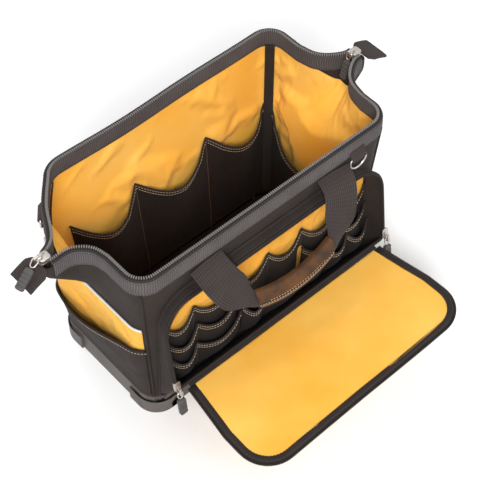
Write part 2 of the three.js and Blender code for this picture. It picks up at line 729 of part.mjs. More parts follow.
// Organiser sheets: each is sewn in front of the one behind it, with scalloped tops that bulge
const organiserFoot = pocketFoot + gussetCloth + organiserRise;
const organiserHalf = pocketBackHalf - gussetCloth - 3;
const behind = [0, 5, 11];        // how far the layers behind stand out
function organiser(x0, x1, seams, peak, dip, layer, bulge, nu) {
  const sheet = (face) => (u, v) => {
    const swell = scallop(u, seams);
    const z = mix(organiserFoot, peak - dip * swell, v);
    const full = ease(clamp01((z - organiserFoot) / 50));
    const out = backCloth + 2 * seam + layer * (organiserCloth + seam) + face;
    return v3(mix(x0, x1, u), frontFace(z) - out - full * (behind[layer] + bulge * swell), z);
  };
  return slab(nu, 3, sheet(organiserCloth), sheet(0));
}
const columns = [-54, 54];
const peaks = [48, 80, 108].map((below) => pocketTop - below);
const middlePeak = pocketTop - 96;
const sheets = [
  ['organiser_back', -organiserHalf, organiserHalf, [0, 0.14, 0.33, 0.5, 0.67, 0.86, 1], peaks[0], 26, 0, 4, 24],
  ['organiser_mid_left', -organiserHalf, columns[0] - seam, [0, 0.42, 1], peaks[1], 22, 1, 5, 12],
  ['organiser_mid_right', columns[1] + seam, organiserHalf, [0, 0.5, 1], peaks[1], 22, 1, 5, 12],
  ['organiser_front_left', -organiserHalf, columns[0] - seam, [0, 0.35, 1], peaks[2], 18, 2, 6, 12],
  ['organiser_front_middle', ...columns, [0, 0.36, 1], middlePeak, 24, 2, 6, 12],
  ['organiser_front_right', columns[1] + seam, organiserHalf, [0, 0.33, 0.66, 1], peaks[2], 18, 2, 6, 15],
];
for (const [name, ...rest] of sheets) add(name, organiser(...rest), black, 0.9);

// Zip teeth on the gusset's edge: up one side, over the top and down the other
function edgeChain() {
  const first = 1 + footSteps + 1;
  const outer = rimLoop(0);
  const inside = rimLoop(pocketChain);
  const stations = outer.slice(first, outer.length - first + 1).map((a, i) => ([p, q]) => {
    const b = inside[i + first];
    const z = mix(a[1], b[1], p);
    return v3(mix(a[0], b[0], p), rimFace(z) - seam - q * pocketChain, z);
  });
  return bar(stations, [[0, 0], [1, 0], [1, 1], [0, 1]]);
}
add('pocket_zip_chain', edgeChain(), 0x55504e, 0.5);

// Sliders at the foot of each side of the pocket's zip, clasping its teeth from outside
const pocketSliderLength = 15;
const pocketSliderWidth = 10;
const pocketGap = pocketChain + 2 * seam;
const upZip = Math.hypot(1, rimLean);
function pocketSlider() {
  const half = pocketGap / 2;
  const flange = (sy) => {
    const y = [sy * half, sy * (half + 1.5)].sort((a, b) => a - b);
    return solid(box(-pocketSliderLength / 2 + 2, pocketSliderLength / 2 - 2, ...y, -half + seam, half + 0.5));
  };
  return sliderBody(pocketSliderLength, pocketSliderWidth, pocketGap, flange(-1).add(flange(1)));
}
for (const [name, sx] of Object.entries(ends)) {
  const down = v3(0, -rimLean / upZip, -1 / upZip);
  const out = v3(0, -1 / upZip, rimLean / upZip);
  const z = pocketHinge + pocketFootCorner + pocketSliderLength / 2 - 2;
  const place = v3(sx * (pocketHalf - pocketChain / 2), rimFace(z), z).addScaledVector(out, seam + pocketChain / 2);
  addSlider(
    `${name}_pocket`, pocketSlider(), pocketSliderLength, pocketGap, place, along(down, v3(1, 0, 0), out), [0, 0]);
}

// Flap, modelled lying open. The hinge line runs along X, just in front of the gusset's edge.
const hingeY = rimFace(pocketHinge) - hingeOut;
const hingeZ = pocketHinge - 0.5;
const hinged = 4;
const hingeTaper = 11;            // the flap is narrower by the hinge, clear of the zip's foot and its pulls
const taperLength = 80;
const cornerSteps = 6;
function flapOutline(grow) {
  const half = flapHalf - grow;
  const r = flapCorner - grow;
  const far = flapLength - grow;
  const corner = [...Array(cornerSteps + 1).keys()].map((i) => {
    const a = (i * Math.PI) / 2 / cornerSteps;
    return [half - r + r * Math.cos(a), -far + r - r * Math.sin(a)];
  });
  const right = [[half - hingeTaper, -hinged], [half, -taperLength], ...corner, [half / 3, -far]];
  return [...right.map(([x, y]) => [-x, y]), ...right.reverse()];
}
const flap = new THREE.Group();
flap.position.set(0, hingeY, hingeZ);
group.add(flap);

function flapPanel() {
  const shape = new THREE.Shape(flapOutline(bindingWidth + seam).map((p) => new THREE.Vector2(...p)));
  const half = flapThickness / 2;
  const sheet = new THREE.ExtrudeGeometry(shape, { depth: flapThickness, bevelEnabled: false });
  sheet.translate(0, 0, -half);
  const width = flapHalf - hingeTaper - bindingWidth - seam;
  const roll = new THREE.CylinderGeometry(half, half, 2 * width, 8);
  roll.rotateY(Math.PI / 8).rotateZ(Math.PI / 2);
  const lip = box(-width, width, -hinged - 1, 0, -half * 0.9, half * 0.9);
  return geometryOf(solid(sheet).add(solid(roll)).add(solid(lip)));
}
add('flap_panel', flapPanel(), yellow, 0.7, 0, flap);

function flapEdge(out, inside, thickness) {
  const [a, b] = [flapOutline(out), flapOutline(inside)];
  const stations = a.map((_, i) => ([p, q]) => {
    return v3(mix(a[i][0], b[i][0], p), mix(a[i][1], b[i][1], p), (q - 0.5) * thickness);
  });
  return bar(stations, [[0, 0], [1, 0], [1, 1], [0, 1]]);
}
add('flap_binding', flapEdge(0, bindingWidth, bindingThickness), black, 0.9, 0, flap);
add('flap_zip_chain', flapEdge(-seam - pocketChain, -seam, pocketChain), 0x55504e, 0.5, 0, flap);

// Lip of cloth that carries the flap along the gusset's lower edge
function hingeLip() {
  const half = flapHalf - hingeTaper - bindingWidth - 6;
  const reach = hingeY + flapThickness / 2 + seam;
  return box(-half, half, reach, rimFace(pocketHinge) - seam, hingeZ - 1.2, hingeZ + 1.2);
}
add('flap_hinge_strip', hingeLip(), black, 0.9);

// Handle: webbing that comes out under the rim, turns along the grip and goes back in.
// The sheet is laid out flat as (x, distance from the root) and bent over a side profile.
const profileCurve = new THREE.CatmullRomCurve3([
  v3(0, 0, 0), v3(0, 14.5, -9), v3(0, 27, -26), v3(0, 39, -52), v3(0, 50, -76), v3(0, 59, -97), v3(0, 66, -116),
]);
const profileLength = profileCurve.getLength();
function profileAt(d) {
  const u = clamp01(d / profileLength);
  const p = profileCurve.getPointAt(u);
  const t = profileCurve.getTangentAt(u);
  return { out: p.y, up: p.z, n: [-t.z, t.y] };
}
const strapRoute = new THREE.CatmullRomCurve3([
  v3(-strapSpread, 0, 0), v3(-100, 24, 0), v3(-90, 50, 0), v3(-75, 72, 0), v3(-gripLength / 2, 85, 0),
  v3(-40, 92, 0), v3(0, 96, 0), v3(40, 92, 0), v3(gripLength / 2, 85, 0), v3(75, 72, 0), v3(90, 50, 0),
  v3(100, 24, 0), v3(strapSpread, 0, 0),
]);
function strapWidthAt(x) {
  const k = clamp01((Math.abs(x) - gripLength / 2 - 4) / (strapSpread - gripLength / 2 - 14));
  return mix(foldedWidth, strapWidth, ease(k));
}
function handleSurface(sy, rootY, rootZ) {
  return (x, d, n) => {
    const p = profileAt(d);
    return v3(x, rootY + sy * (p.out + p.n[0] * n), rootZ + p.up + p.n[1] * n);
  };
}
function handleStrap(place) {
  const surface = (face) => (u, v) => {
    const p = strapRoute.getPointAt(u);
    const t = strapRoute.getTangentAt(u);
    const level = clamp01(p.y / 14);
    const side = new THREE.Vector2(mix(1, t.y * Math.sign(-p.x || 1), level), mix(0, Math.abs(t.x), level));
    side.normalize();
    const w = strapWidthAt(p.x) * (v - 0.5);
    const flip = p.x > 0 ? -1 : 1;
    return place(p.x + flip * side.x * w, Math.max(0, p.y - side.y * w), face);
  };
  return slab(28, 2, surface(strapThickness / 2), surface(-strapThickness / 2));
}
function handleGrip(place) {
  const ringAt = (height, thickness) => (u, v) => {
    const x = mix(-gripLength / 2, gripLength / 2, v);
    const middle = 96 - 11 * (x / (gripLength / 2)) ** 2;
    const a = u * 2 * Math.PI;
    const power = (c) => Math.sign(c) * Math.abs(c) ** 0.7;
    return place(x, middle + (height / 2) * power(Math.cos(a)), (thickness / 2) * power(Math.sin(a)));
  };
  return slab(12, 6, ringAt(gripHeight, gripThickness), ringAt(gripHeight - 2.4, strapThickness + 5), true);
}
const rootHeight = bandFoot - 3;
for (const [name, sy] of Object.entries(sides)) {
  const wallY = sidePoint(sy, 0, rootHeight, wallIn).y;
  const place = handleSurface(sy, wallY + sy * (strapThickness / 3 + seam), rootHeight);
  add(`${name}_handle_strap`, handleStrap(place), black, 0.85);
  add(`${name}_handle_grip`, handleGrip(place), leather, 0.6);
}

// D-ring: a straight bar with a round bow, hanging in a webbing loop. The bar lies along local X.
function dRing() {
  const half = ringInside / 2 + ringWire;
  const path = new THREE.Path();
  path.moveTo(-half + 2, 0);
  path.lineTo(half - 2, 0);
  path.quadraticCurveTo(half, 0, half, -2);
  path.bezierCurveTo(half, -ringDrop * 0.7, half * 0.55, -ringDrop, 0, -ringDrop);
  path.bezierCurveTo(-half * 0.55, -ringDrop, -half, -ringDrop * 0.7, -half, -2);
  path.quadraticCurveTo(-half, 0, -half + 2, 0);
  const count = 16;
  const stations = [...Array(count).keys()].map((i) => {
    const p = path.getPointAt(i / count);
    const t = path.getTangentAt(i / count);
    return ([a, b]) => v3(p.x - t.y * a, b, p.y + t.x * a);
  });
  const profile = [...Array(6).keys()].map((i) => {
    return [ringWire * Math.cos((i * Math.PI) / 3), ringWire * Math.sin((i * Math.PI) / 3)];
  });
  return bar(stations, profile, true);
}
const loopCloth = 1.4;
const loopRadius = ringWire + running + loopCloth;
const loopTail = 12;
function ringLoop() {
  const shape = new THREE.Shape();
  shape.moveTo(0, loopTail);
  shape.lineTo(0, 0);
  shape.absarc(-loopRadius, 0, loopRadius, 0, -Math.PI, true);
  shape.lineTo(-loopCloth, loopTail * 0.7);
  shape.lineTo(-loopCloth, loopTail);
  const hole = new THREE.Path();
  hole.absarc(-loopRadius, 0, ringWire + running, 0, 2 * Math.PI);
  shape.holes.push(hole);
  const geometry = new THREE.ExtrudeGeometry(shape, {
    depth: ringLoopWidth, bevelEnabled: false, curveSegments: 6,
  });
  return geometry.translate(loopRadius, 0, -ringLoopWidth / 2).applyMatrix4(
    new THREE.Matrix4().makeBasis(v3(0, 1, 0), v3(0, 0, 1), v3(1, 0, 0)));
}
function addRing(name, place, turn) {
  const holder = new THREE.Group();
  holder.position.copy(place);
  holder.rotation.z = turn;
  group.add(holder);
  add(`${name}_ring_loop`, ringLoop(), black, 0.85, 0, holder);
  add(`${name}_d_ring`, dRing(), steel, 0.3, 1, holder);
}

const ringHeight = bandFoot - 3;
const ringOut = loopRadius + seam;
const frontRingX = frontRingAt / mouthLeft;
const frontTape = sidePoint(-1, 1 - frontRingX, bandFoot, 0).y;
addRing('front', v3(frontRingAt, frontTape - ringOut, ringHeight), 0);
const seat = [0.62, 0.82].map((s) => facetPoint(-1, 1, s, bandFoot, 0));
const run = seat[1].clone().sub(seat[0]).normalize();
const endRingPlace = seat[0].lerp(seat[1], 0.5).addScaledVector(v3(-run.y, run.x, 0), ringOut);
endRingPlace.z = ringHeight;
addRing('end', endRingPlace, Math.atan2(-run.y, -run.x));

export default group;
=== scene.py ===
import math

import bpy
import numpy as np
from mathutils import Matrix, Vector, noise


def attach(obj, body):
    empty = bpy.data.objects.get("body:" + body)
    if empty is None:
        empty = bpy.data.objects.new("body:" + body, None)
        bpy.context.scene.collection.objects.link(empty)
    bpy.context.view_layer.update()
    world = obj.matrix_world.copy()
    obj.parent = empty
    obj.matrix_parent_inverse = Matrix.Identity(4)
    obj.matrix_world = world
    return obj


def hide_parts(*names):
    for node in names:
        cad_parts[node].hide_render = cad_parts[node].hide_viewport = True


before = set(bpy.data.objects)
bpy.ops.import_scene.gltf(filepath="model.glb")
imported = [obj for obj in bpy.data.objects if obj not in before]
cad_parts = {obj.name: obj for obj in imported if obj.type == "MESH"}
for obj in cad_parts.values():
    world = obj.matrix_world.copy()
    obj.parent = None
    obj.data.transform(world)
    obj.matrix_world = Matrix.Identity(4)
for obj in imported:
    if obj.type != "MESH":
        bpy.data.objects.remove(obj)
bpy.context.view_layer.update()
scene = bpy.context.scene

# Sizes below are in millimetres and become metres when a mesh is made.
milli = 0.001


def linked(name, data):
    obj = bpy.data.objects.new(name, data)
    scene.collection.objects.link(obj)
    return obj


# Camera, light and floor

view = {"place": (-0.7258, -0.8677, 1.5755), "azimuth": -41.734, "elevation": 52.094, "lens": 105.02,
        "sensor": 36, "near": 0.05}


def addCamera():
    a, e = math.radians(view["azimuth"]), math.radians(view["elevation"])
    back = Vector((math.sin(a) * math.cos(e), -math.cos(a) * math.cos(e), math.sin(e)))
    right = Vector((math.cos(a), math.sin(a), 0))
    turn = Matrix((right, back.cross(right), back)).transposed().to_4x4()
    data = bpy.data.cameras.new("camera")
    data.lens, data.sensor_width, data.clip_start = view["lens"], view["sensor"], view["near"]
    camera = linked("camera", data)
    camera.matrix_world = Matrix.Translation(view["place"]) @ turn
    scene.camera = camera


lamps = [
    {"name": "key", "place": (-2.6, -3.0, 3.7), "size": 2.2, "watts": 270},
    {"name": "fill", "place": (3.2, -2.0, 3.0), "size": 2.4, "watts": 60},
    {"name": "top", "place": (-0.2, 1.6, 4.0), "size": 2.4, "watts": 50},
]
lampAim = (0, -0.05, 0.15)


def addLamps():
    for lamp in lamps:
        data = bpy.data.lights.new(lamp["name"], "AREA")
        data.shape = "DISK"
        data.size = lamp["size"]
        data.energy = lamp["watts"]
        lit = linked(lamp["name"], data)
        lit.location = lamp["place"]
        aim = Vector(lampAim) - lit.location
        lit.rotation_euler = aim.to_track_quat("-Z", "Y").to_euler()


sky = {"white": (1, 1, 1, 1), "ambient": 0.4, "seen": 1.0}


def addWorld():
    world = bpy.data.worlds.new("studio")
    world.use_nodes = True
    scene.world = world
    tree = world.node_tree
    tree.nodes.clear()
    path = put(tree, "ShaderNodeLightPath").outputs
    straight = maths(tree, "MAXIMUM", path["Is Camera Ray"], path["Is Glossy Ray"])
    straight = maths(tree, "MAXIMUM", straight, path["Is Transmission Ray"])
    soft, bright = [put(tree, "ShaderNodeBackground", inputs={"Color": sky["white"], "Strength": sky[key]})
                    for key in ("ambient", "seen")]
    mix = put(tree, "ShaderNodeMixShader", inputs={0: straight, 1: soft.outputs[0], 2: bright.outputs[0]})
    put(tree, "ShaderNodeOutputWorld", inputs={0: mix.outputs[0]})


def linear(r, g, b):
    def one(c):
        c /= 255
        return c / 12.92 if c <= 0.04045 else ((c + 0.055) / 1.055) ** 2.4
    return (one(r), one(g), one(b), 1)


# Node helpers

def wire(tree, node, inputs):
    for key, value in inputs.items():
        if isinstance(value, bpy.types.NodeSocket):
            tree.links.new(value, node.inputs[key])
        else:
            node.inputs[key].default_value = value


def put(tree, kind, props=None, inputs=None):
    made = tree.nodes.new(kind)
    for key, value in (props or {}).items():
        setattr(made, key, value)
    wire(tree, made, inputs or {})
    return made


def maths(tree, operation, *values):
    return put(tree, "ShaderNodeMath", {"operation": operation}, dict(enumerate(values))).outputs[0]


def newGroup(name, inputs, outputs):
    tree = bpy.data.node_groups.new(name, "ShaderNodeTree")
    for label, value in inputs.items():
        made = tree.interface.new_socket(label, in_out="INPUT", socket_type="NodeSocketFloat")
        made.default_value = value
    for label in outputs:
        tree.interface.new_socket(label, in_out="OUTPUT", socket_type="NodeSocketFloat")
    return tree, put(tree, "NodeGroupInput").outputs, put(tree, "NodeGroupOutput")


def uvParts(tree):
    uv = put(tree, "ShaderNodeUVMap")
    parts = put(tree, "ShaderNodeSeparateXYZ", inputs={0: uv.outputs[0]})
    return parts.outputs[0], parts.outputs[1]


def wave(tree, value, threads):
    turned = maths(tree, "MULTIPLY", maths(tree, "MULTIPLY", value, threads), 2 * math.pi)
    return maths(tree, "SINE", turned)


def plainWeave():
    tree, given, out = newGroup("plainWeave", {"Threads": 900.0}, ["Height"])
    u, v = [wave(tree, part, given["Threads"]) for part in uvParts(tree)]
    wire(tree, out, {"Height": maths(tree, "MULTIPLY_ADD", maths(tree, "MULTIPLY", u, v), 0.5, 0.5)})
    return tree


def herringbone():
    tree, given, out = newGroup("herringbone", {"Threads": 340.0, "Column": 0.009, "Lean": 0.12}, ["Height"])
    u, v = uvParts(tree)
    zigzag = maths(tree, "PINGPONG", u, given["Column"])
    slope = maths(tree, "ADD", v, maths(tree, "MULTIPLY", zigzag, given["Lean"]))
    ridge = wave(tree, slope, given["Threads"])
    wire(tree, out, {"Height": maths(tree, "MULTIPLY_ADD", ridge, 0.5, 0.5)})
    return tree


def ribbed():
    tree, given, out = newGroup("ribbed", {"Ribs": 420.0}, ["Height"])
    u, v = uvParts(tree)
    row = wave(tree, u, given["Ribs"])
    thread = wave(tree, v, maths(tree, "MULTIPLY", given["Ribs"], 0.5))
    both = maths(tree, "MULTIPLY_ADD", thread, 0.35, row)
    wire(tree, out, {"Height": maths(tree, "MULTIPLY_ADD", both, 0.37, 0.5)})
    return tree


def mottle():
    tree, given, out = newGroup("mottle", {"Scale": 30.0}, ["Broad", "Fine"])
    where = put(tree, "ShaderNodeTexCoord").outputs["Object"]
    fineScale = maths(tree, "MULTIPLY", given["Scale"], 18)
    for label, scale, detail, rough in (("Broad", given["Scale"], 4.0, 0.55), ("Fine", fineScale, 3.0, 0.6)):
        made = put(tree, "ShaderNodeTexNoise", inputs={
            "Vector": where, "Scale": scale, "Detail": detail, "Roughness": rough})
        wire(tree, out, {label: made.outputs[0]})
    return tree


groups = {"plain": plainWeave(), "herringbone": herringbone(), "ribbed": ribbed(), "mottle": mottle()}


def grouped(tree, key, inputs=None):
    return put(tree, "ShaderNodeGroup", {"node_tree": groups[key]}, inputs).outputs


def newMaterial(name):
    material = bpy.data.materials.new(name)
    material.use_nodes = True
    tree = material.node_tree
    tree.nodes.clear()
    shader = put(tree, "ShaderNodeBsdfPrincipled")
    put(tree, "ShaderNodeOutputMaterial", inputs={0: shader.outputs[0]})
    return material, tree, shader


def ramp(tree, factor, low, high, blend="MIX"):
    props = {"data_type": "RGBA", "blend_type": blend}
    return put(tree, "ShaderNodeMix", props, {0: factor, 6: low, 7: high}).outputs[2]


def stretched(tree, value):
    # noise keeps near its middle: this spreads it from 0 to 1
    wide = maths(tree, "MULTIPLY_ADD", value, 2.6, -0.8)
    wide.node.use_clamp = True
    return wide


def bumped(tree, height, distance, strength, inputs=None):
    given = {"Height": height, "Distance": distance, "Strength": strength, **(inputs or {})}
    return put(tree, "ShaderNodeBump", inputs=given).outputs[0]


def uneven(tree, blotch, middle, spread):
    return maths(tree, "MULTIPLY_ADD", blotch["Fine"], spread, middle - spread / 2)


def shade(colour, amount):
    return tuple(min(1.0, c * amount) for c in colour[:3]) + (1,)


def cloth(name, colour, weave="plain", roughness=0.85, sheen=0.25, depth=0.00022, spread=0.14,
          contrast=0.35, pale=None, broadScale=26.0, settings=None):
    material, tree, shader = newMaterial(name)
    colour = linear(*colour)
    pale = linear(*pale) if pale else shade(colour, 1 + spread)
    height = grouped(tree, weave, settings)["Height"]
    blotch = grouped(tree, "mottle", {"Scale": broadScale})
    broad = ramp(tree, stretched(tree, blotch["Broad"]), shade(colour, 1 - spread), pale)
    thread = maths(tree, "MULTIPLY_ADD", height, 0.9, 0.35)
    grey = put(tree, "ShaderNodeCombineColor", inputs={0: thread, 1: thread, 2: thread}).outputs[0]
    crumple = bumped(tree, blotch["Fine"], 0.0004, 0.5)
    wire(tree, shader, {
        "Base Color": ramp(tree, contrast, broad, grey, "MULTIPLY"),
        "Roughness": uneven(tree, blotch, roughness, 0.2),
        "Normal": bumped(tree, height, depth, 0.8, {"Normal": crumple}),
        "Sheen Weight": sheen, "Sheen Roughness": 0.5, "Specular IOR Level": 0.15})
    return material


def moulded(name, colour, roughness=0.5, grain=0.00012, scale=60.0, metallic=0.0, spread=0.1, specular=0.5):
    material, tree, shader = newMaterial(name)
    colour = linear(*colour)
    blotch = grouped(tree, "mottle", {"Scale": scale})
    wire(tree, shader, {
        "Base Color": ramp(tree, blotch["Broad"], shade(colour, 1 - spread), shade(colour, 1 + spread)),
        "Roughness": uneven(tree, blotch, roughness, 0.24),
        "Normal": bumped(tree, blotch["Fine"], grain, 0.6),
        "Metallic": metallic, "Specular IOR Level": specular})
    return material


def hide(name, colour, edge):
    material, tree, shader = newMaterial(name)
    where = put(tree, "ShaderNodeTexCoord").outputs["Object"]
    cells = put(tree, "ShaderNodeTexVoronoi", {"feature": "DISTANCE_TO_EDGE"}, {
        "Vector": where, "Scale": 520.0})
    blotch = grouped(tree, "mottle", {"Scale": 40.0})
    wire(tree, shader, {
        "Base Color": ramp(tree, stretched(tree, blotch["Broad"]), linear(*colour), linear(*edge)),
        "Roughness": uneven(tree, blotch, 0.63, 0.3),
        "Normal": bumped(tree, cells.outputs["Distance"], 0.0003, 0.5), "Specular IOR Level": 0.25})
    return material


paint = {
    "black": cloth("blackFabric", (50, 43, 40), sheen=0.015, settings={"Threads": 800.0}),
    # painted shade: this yellow (flap, end accents, pocket back panel) is darker than the lining's to offset
    # the strong lamp light on the flap; both stand for one yellow cloth. Its paler tone in broad random
    # blotches is a painted highlight.
    "yellow": cloth("yellowFabricPaintedShade", (236, 168, 56), roughness=0.8, sheen=0.03, depth=0.00012, spread=0.0,
                    pale=(242, 190, 90), broadScale=7.0, settings={"Threads": 1000.0}),
    # painted light: the lining's yellow is paler than the flap's to offset the shade inside the bag; its
    # paler tone in broad random blotches is a painted highlight.
    "lining": cloth("yellowLiningPaintedLight", (253, 184, 64), roughness=0.75, sheen=0.05, depth=0.00012, spread=0.0,
                    pale=(254, 200, 98), broadScale=9.0, settings={"Threads": 1000.0}),
    "dark": cloth("innerFabric", (36, 29, 26), sheen=0.03, settings={"Threads": 800.0}),
    "organiser": cloth("organiserFabric", (36, 31, 29), sheen=0.015, settings={"Threads": 800.0}),
    "tape": cloth("herringboneTape", (86, 81, 81), "herringbone", depth=0.0004, sheen=0.03, contrast=0.55),
    "zipTape": cloth("zipTape", (44, 41, 41), "ribbed", depth=0.0001, sheen=0.05, settings={"Ribs": 900.0}),
    "webbing": cloth("webbing", (60, 53, 51), "ribbed", depth=0.0004, sheen=0.03, contrast=0.6,
                     settings={"Ribs": 380.0}),
    "binding": cloth("binding", (46, 40, 38), "ribbed", depth=0.0002, sheen=0.015, settings={"Ribs": 600.0}),
    "reflective": cloth("reflectiveTape", (222, 222, 220), roughness=0.45, sheen=0.0, depth=0.00008,
                        spread=0.03, settings={"Threads": 1400.0}),
    "cream": moulded("creamThread", (186, 166, 140), 0.75, 0.00005, 300.0),
    "brownThread": moulded("brownThread", (120, 88, 58), 0.75, 0.00005, 300.0),
    "greyThread": moulded("greyThread", (70, 65, 63), 0.85, 0.00005, 300.0, specular=0.1),
    "teeth": moulded("zipTeeth", (116, 112, 110), 0.5, 0.00003, 200.0),
    "darkTeeth": moulded("darkZipTeeth", (42, 39, 38), 0.6, 0.00003, 200.0, specular=0.15),
    "plastic": moulded("basePlastic", (84, 77, 73), 0.55, 0.00035, 90.0),
    "metal": moulded("nickel", (186, 180, 174), 0.38, 0.00004, 120.0, metallic=1.0, spread=0.12),
    "rubber": moulded("rubber", (74, 73, 72), 0.65, 0.0001, 150.0, specular=0.3),
    "leather": hide("leather", (50, 36, 26), (96, 60, 30)),
    # orange for the leather's raw edge, made bright as a painted highlight
    "leatherEdgeAndHighlight": moulded("leatherEdgeAndHighlight", (150, 96, 44), 0.6, 0.0001, 150.0),
}
slotOf = {
    "black": "outer_fabric", "organiser": "outer_fabric", "binding": "outer_fabric",
    "yellow": "accent_fabric", "dark": "dark_fabric", "zipTape": "tape", "teeth": "zip_plastic",
    "darkTeeth": "zip_plastic", "plastic": "base_plastic", "leatherEdgeAndHighlight": "leather",
}


# Mesh helpers

def place(obj, look, body, nodes=(), slotName=None):
    if look:
        obj.data.materials.clear()
        obj.data.materials.append(paint[look])
    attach(obj, body)
    if nodes:
        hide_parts(*nodes)
    slotName or slotOf.get(look, look)
    return obj


def bake(obj):
    bpy.context.view_layer.update()
    seen = obj.evaluated_get(bpy.context.evaluated_depsgraph_get())
    mesh = bpy.data.meshes.new_from_object(seen)
    old = obj.data
    obj.modifiers.clear()
    obj.data = mesh
    if old.users == 0:
        bpy.data.meshes.remove(old)


def fromGrid(name, grid, around=False, across=False, caps=False):
    rows, cols = grid.shape[:2]
    faces = []
    for j in range(rows if across else rows - 1):
        for i in range(cols if around else cols - 1):
            a, b = j * cols + i, j * cols + (i + 1) % cols
            c, d = ((j + 1) % rows) * cols + (i + 1) % cols, ((j + 1) % rows) * cols + i
            faces.append((a, b, c, d))
    if caps:
        faces.append(tuple(range(cols - 1, -1, -1)))
        faces.append(tuple((rows - 1) * cols + i for i in range(cols)))
    mesh = bpy.data.meshes.new(name)
    mesh.from_pydata((grid.reshape(-1, 3) * milli).tolist(), [], faces)
    mesh.update()
    along = np.linalg.norm(np.diff(grid, axis=1, append=grid[:, :1]), axis=2).mean(0)
    down = np.linalg.norm(np.diff(grid, axis=0, append=grid[:1]), axis=2).mean(1)
    u = np.concatenate([[0], np.cumsum(along)]) * milli
    v = np.concatenate([[0], np.cumsum(down)]) * milli
    layer = mesh.uv_layers.new(name="UVMap")
    for face in mesh.polygons:
        used = [mesh.loops[k].vertex_index for k in face.loop_indices]
        js, iS = [k // cols for k in used], [k % cols for k in used]
        for k, j, i in zip(face.loop_indices, js, iS):
            wide = cols if around and i == 0 and max(iS) == cols - 1 else i
            tall = rows if across and j == 0 and max(js) == rows - 1 else j
            layer.data[k].uv = (u[wide], v[tall])
    mesh.shade_smooth()
    return linked(name, mesh)


def turnIf(obj, total):
    # turns a piece's faces where their sum shows that they look inward
    if total < 0:
        obj.data.flip_normals()
    return obj


def faceOut(obj, toward):
    total = sum((f.normal * f.area for f in obj.data.polygons), Vector())
    return turnIf(obj, total.dot(Vector(toward)))


def clothPiece(name, grid, thickness, toward, look, nodes=(), body="bag", slotName=None):
    obj = faceOut(fromGrid(name, grid), toward)
    solid = obj.modifiers.new("thickness", "SOLIDIFY")
    solid.thickness = thickness * milli
    solid.offset = -1
    solid.use_even_offset = True
    fine = obj.modifiers.new("round", "SUBSURF")
    fine.levels = fine.render_levels = 1
    bake(obj)
    place(obj, look, body, nodes, slotName)


def lattice(at, us, vs):
    # rows of points, one row for each v
    return np.array([[at(u, v) for u in us] for v in vs])


def evenly(half, count):
    return np.linspace(-half, half, count)


def shares(count):
    return np.linspace(0, 1, count)


def normalsOf(grid, toward):
    n = np.cross(np.gradient(grid, axis=1), np.gradient(grid, axis=0))
    n /= np.linalg.norm(n, axis=2, keepdims=True) + 1e-9
    return -n if n.mean((0, 1)) @ np.array(toward, float) < 0 else n


def roughen(grid, amount, size, seed=0.0):
    # soft uneven height over a sheet, from smooth noise
    out = np.empty(grid.shape[:2])
    for j in range(grid.shape[0]):
        for i in range(grid.shape[1]):
            p = Vector(grid[j, i].tolist()) / size + Vector((seed, seed * 1.7, -seed))
            out[j, i] = noise.noise(p) + 0.5 * noise.noise(p * 2.1)
    return out * amount


def raised(grid, toward, height):
    return grid + normalsOf(grid, toward) * height[..., None]


clothRun = {
    "quality": 6, "mass": 0.2, "tension_stiffness": 12, "compression_stiffness": 12, "shear_stiffness": 4,
    "bending_stiffness": 0.4, "vertex_group_mass": "held", "pin_stiffness": 1.0,
}
clothFrames = 20


def settle(grid, toward, excess=0.03, low=-1.0, high=4.0, hold=0.03, pins=None, seed=1.0):
    # cloth cut a little larger than its frame: it is let go, and its folds are kept as heights
    n = normalsOf(grid, toward)
    seedHeight = roughen(grid, 0.6, 38.0, seed)
    weights = np.full(grid.shape[:2], hold)
    weights[[0, -1]] = 1
    weights[:, [0, -1]] = 1
    if pins is not None:
        weights = np.maximum(weights, pins)
    obj = faceOut(fromGrid("settling", grid + n * seedHeight[..., None]), toward)
    held = obj.vertex_groups.new(name="held")
    for k, w in enumerate(weights.ravel()):
        held.add([k], float(w), "REPLACE")
    mod = obj.modifiers.new("cloth", "CLOTH")
    for key, value in clothRun.items():
        setattr(mod.settings, key, value)
    mod.settings.shrink_min = -excess
    mod.settings.effector_weights.gravity = 0
    mod.collision_settings.use_collision = False
    for k in range(1, clothFrames + 1):
        scene.frame_set(k)
    seen = obj.evaluated_get(bpy.context.evaluated_depsgraph_get())
    moved = np.array([v.co[:] for v in seen.data.vertices]).reshape(grid.shape) * 1000
    height = np.clip(((moved - grid) * n).sum(2), low, high)
    height[weights > 0.99] = 0
    scene.frame_set(1)
    mesh = obj.data
    bpy.data.objects.remove(obj)
    bpy.data.meshes.remove(mesh)
    return grid + n * height[..., None]


def sweep(name, points, ups, profile, look, body="bag", nodes=(), slotName=None, closed=False):
    # profile points are (sideways, up); sideways is up x along
    points, ups = np.array(points, float), np.array(ups, float)
    if closed:
        ahead = np.roll(points, -1, 0) - np.roll(points, 1, 0)
    else:
        ahead = np.gradient(points, axis=0)
    ahead /= np.linalg.norm(ahead, axis=1, keepdims=True) + 1e-12
    side = np.cross(ups, ahead)
    side /= np.linalg.norm(side, axis=1, keepdims=True) + 1e-12
    up = np.cross(ahead, side)
    shape = np.array(profile, float)
    grid = np.stack([p + s * shape[:, :1] + q * shape[:, 1:] for p, s, q in zip(points, side, up)])
    obj = fromGrid(name, grid[:, ::-1], around=True, across=closed, caps=not closed)
    place(obj, look, body, nodes, slotName)


def turnOf(start, turn, steps):
    # cosine and sine at equal steps of an angle
    angles = [start + turn * k / steps for k in range(steps + 1)]
    return [(math.cos(a), math.sin(a)) for a in angles]


def oval(width, height, count=10):
    a = np.arange(count) * 2 * math.pi / count
    return np.stack([np.cos(a) * width / 2, np.sin(a) * height / 2], 1)


def rectangle(halfX, halfY, r, steps=3):
    quarter = math.pi / 2
    corners = [(1, 1), (-1, 1), (-1, -1), (1, -1)]
    return [(i * (halfX - r) + r * c, j * (halfY - r) + r * s)
            for k, (i, j) in enumerate(corners) for c, s in turnOf(k * quarter, quarter, steps)]


# Small things set out along lines: stitches and zip teeth

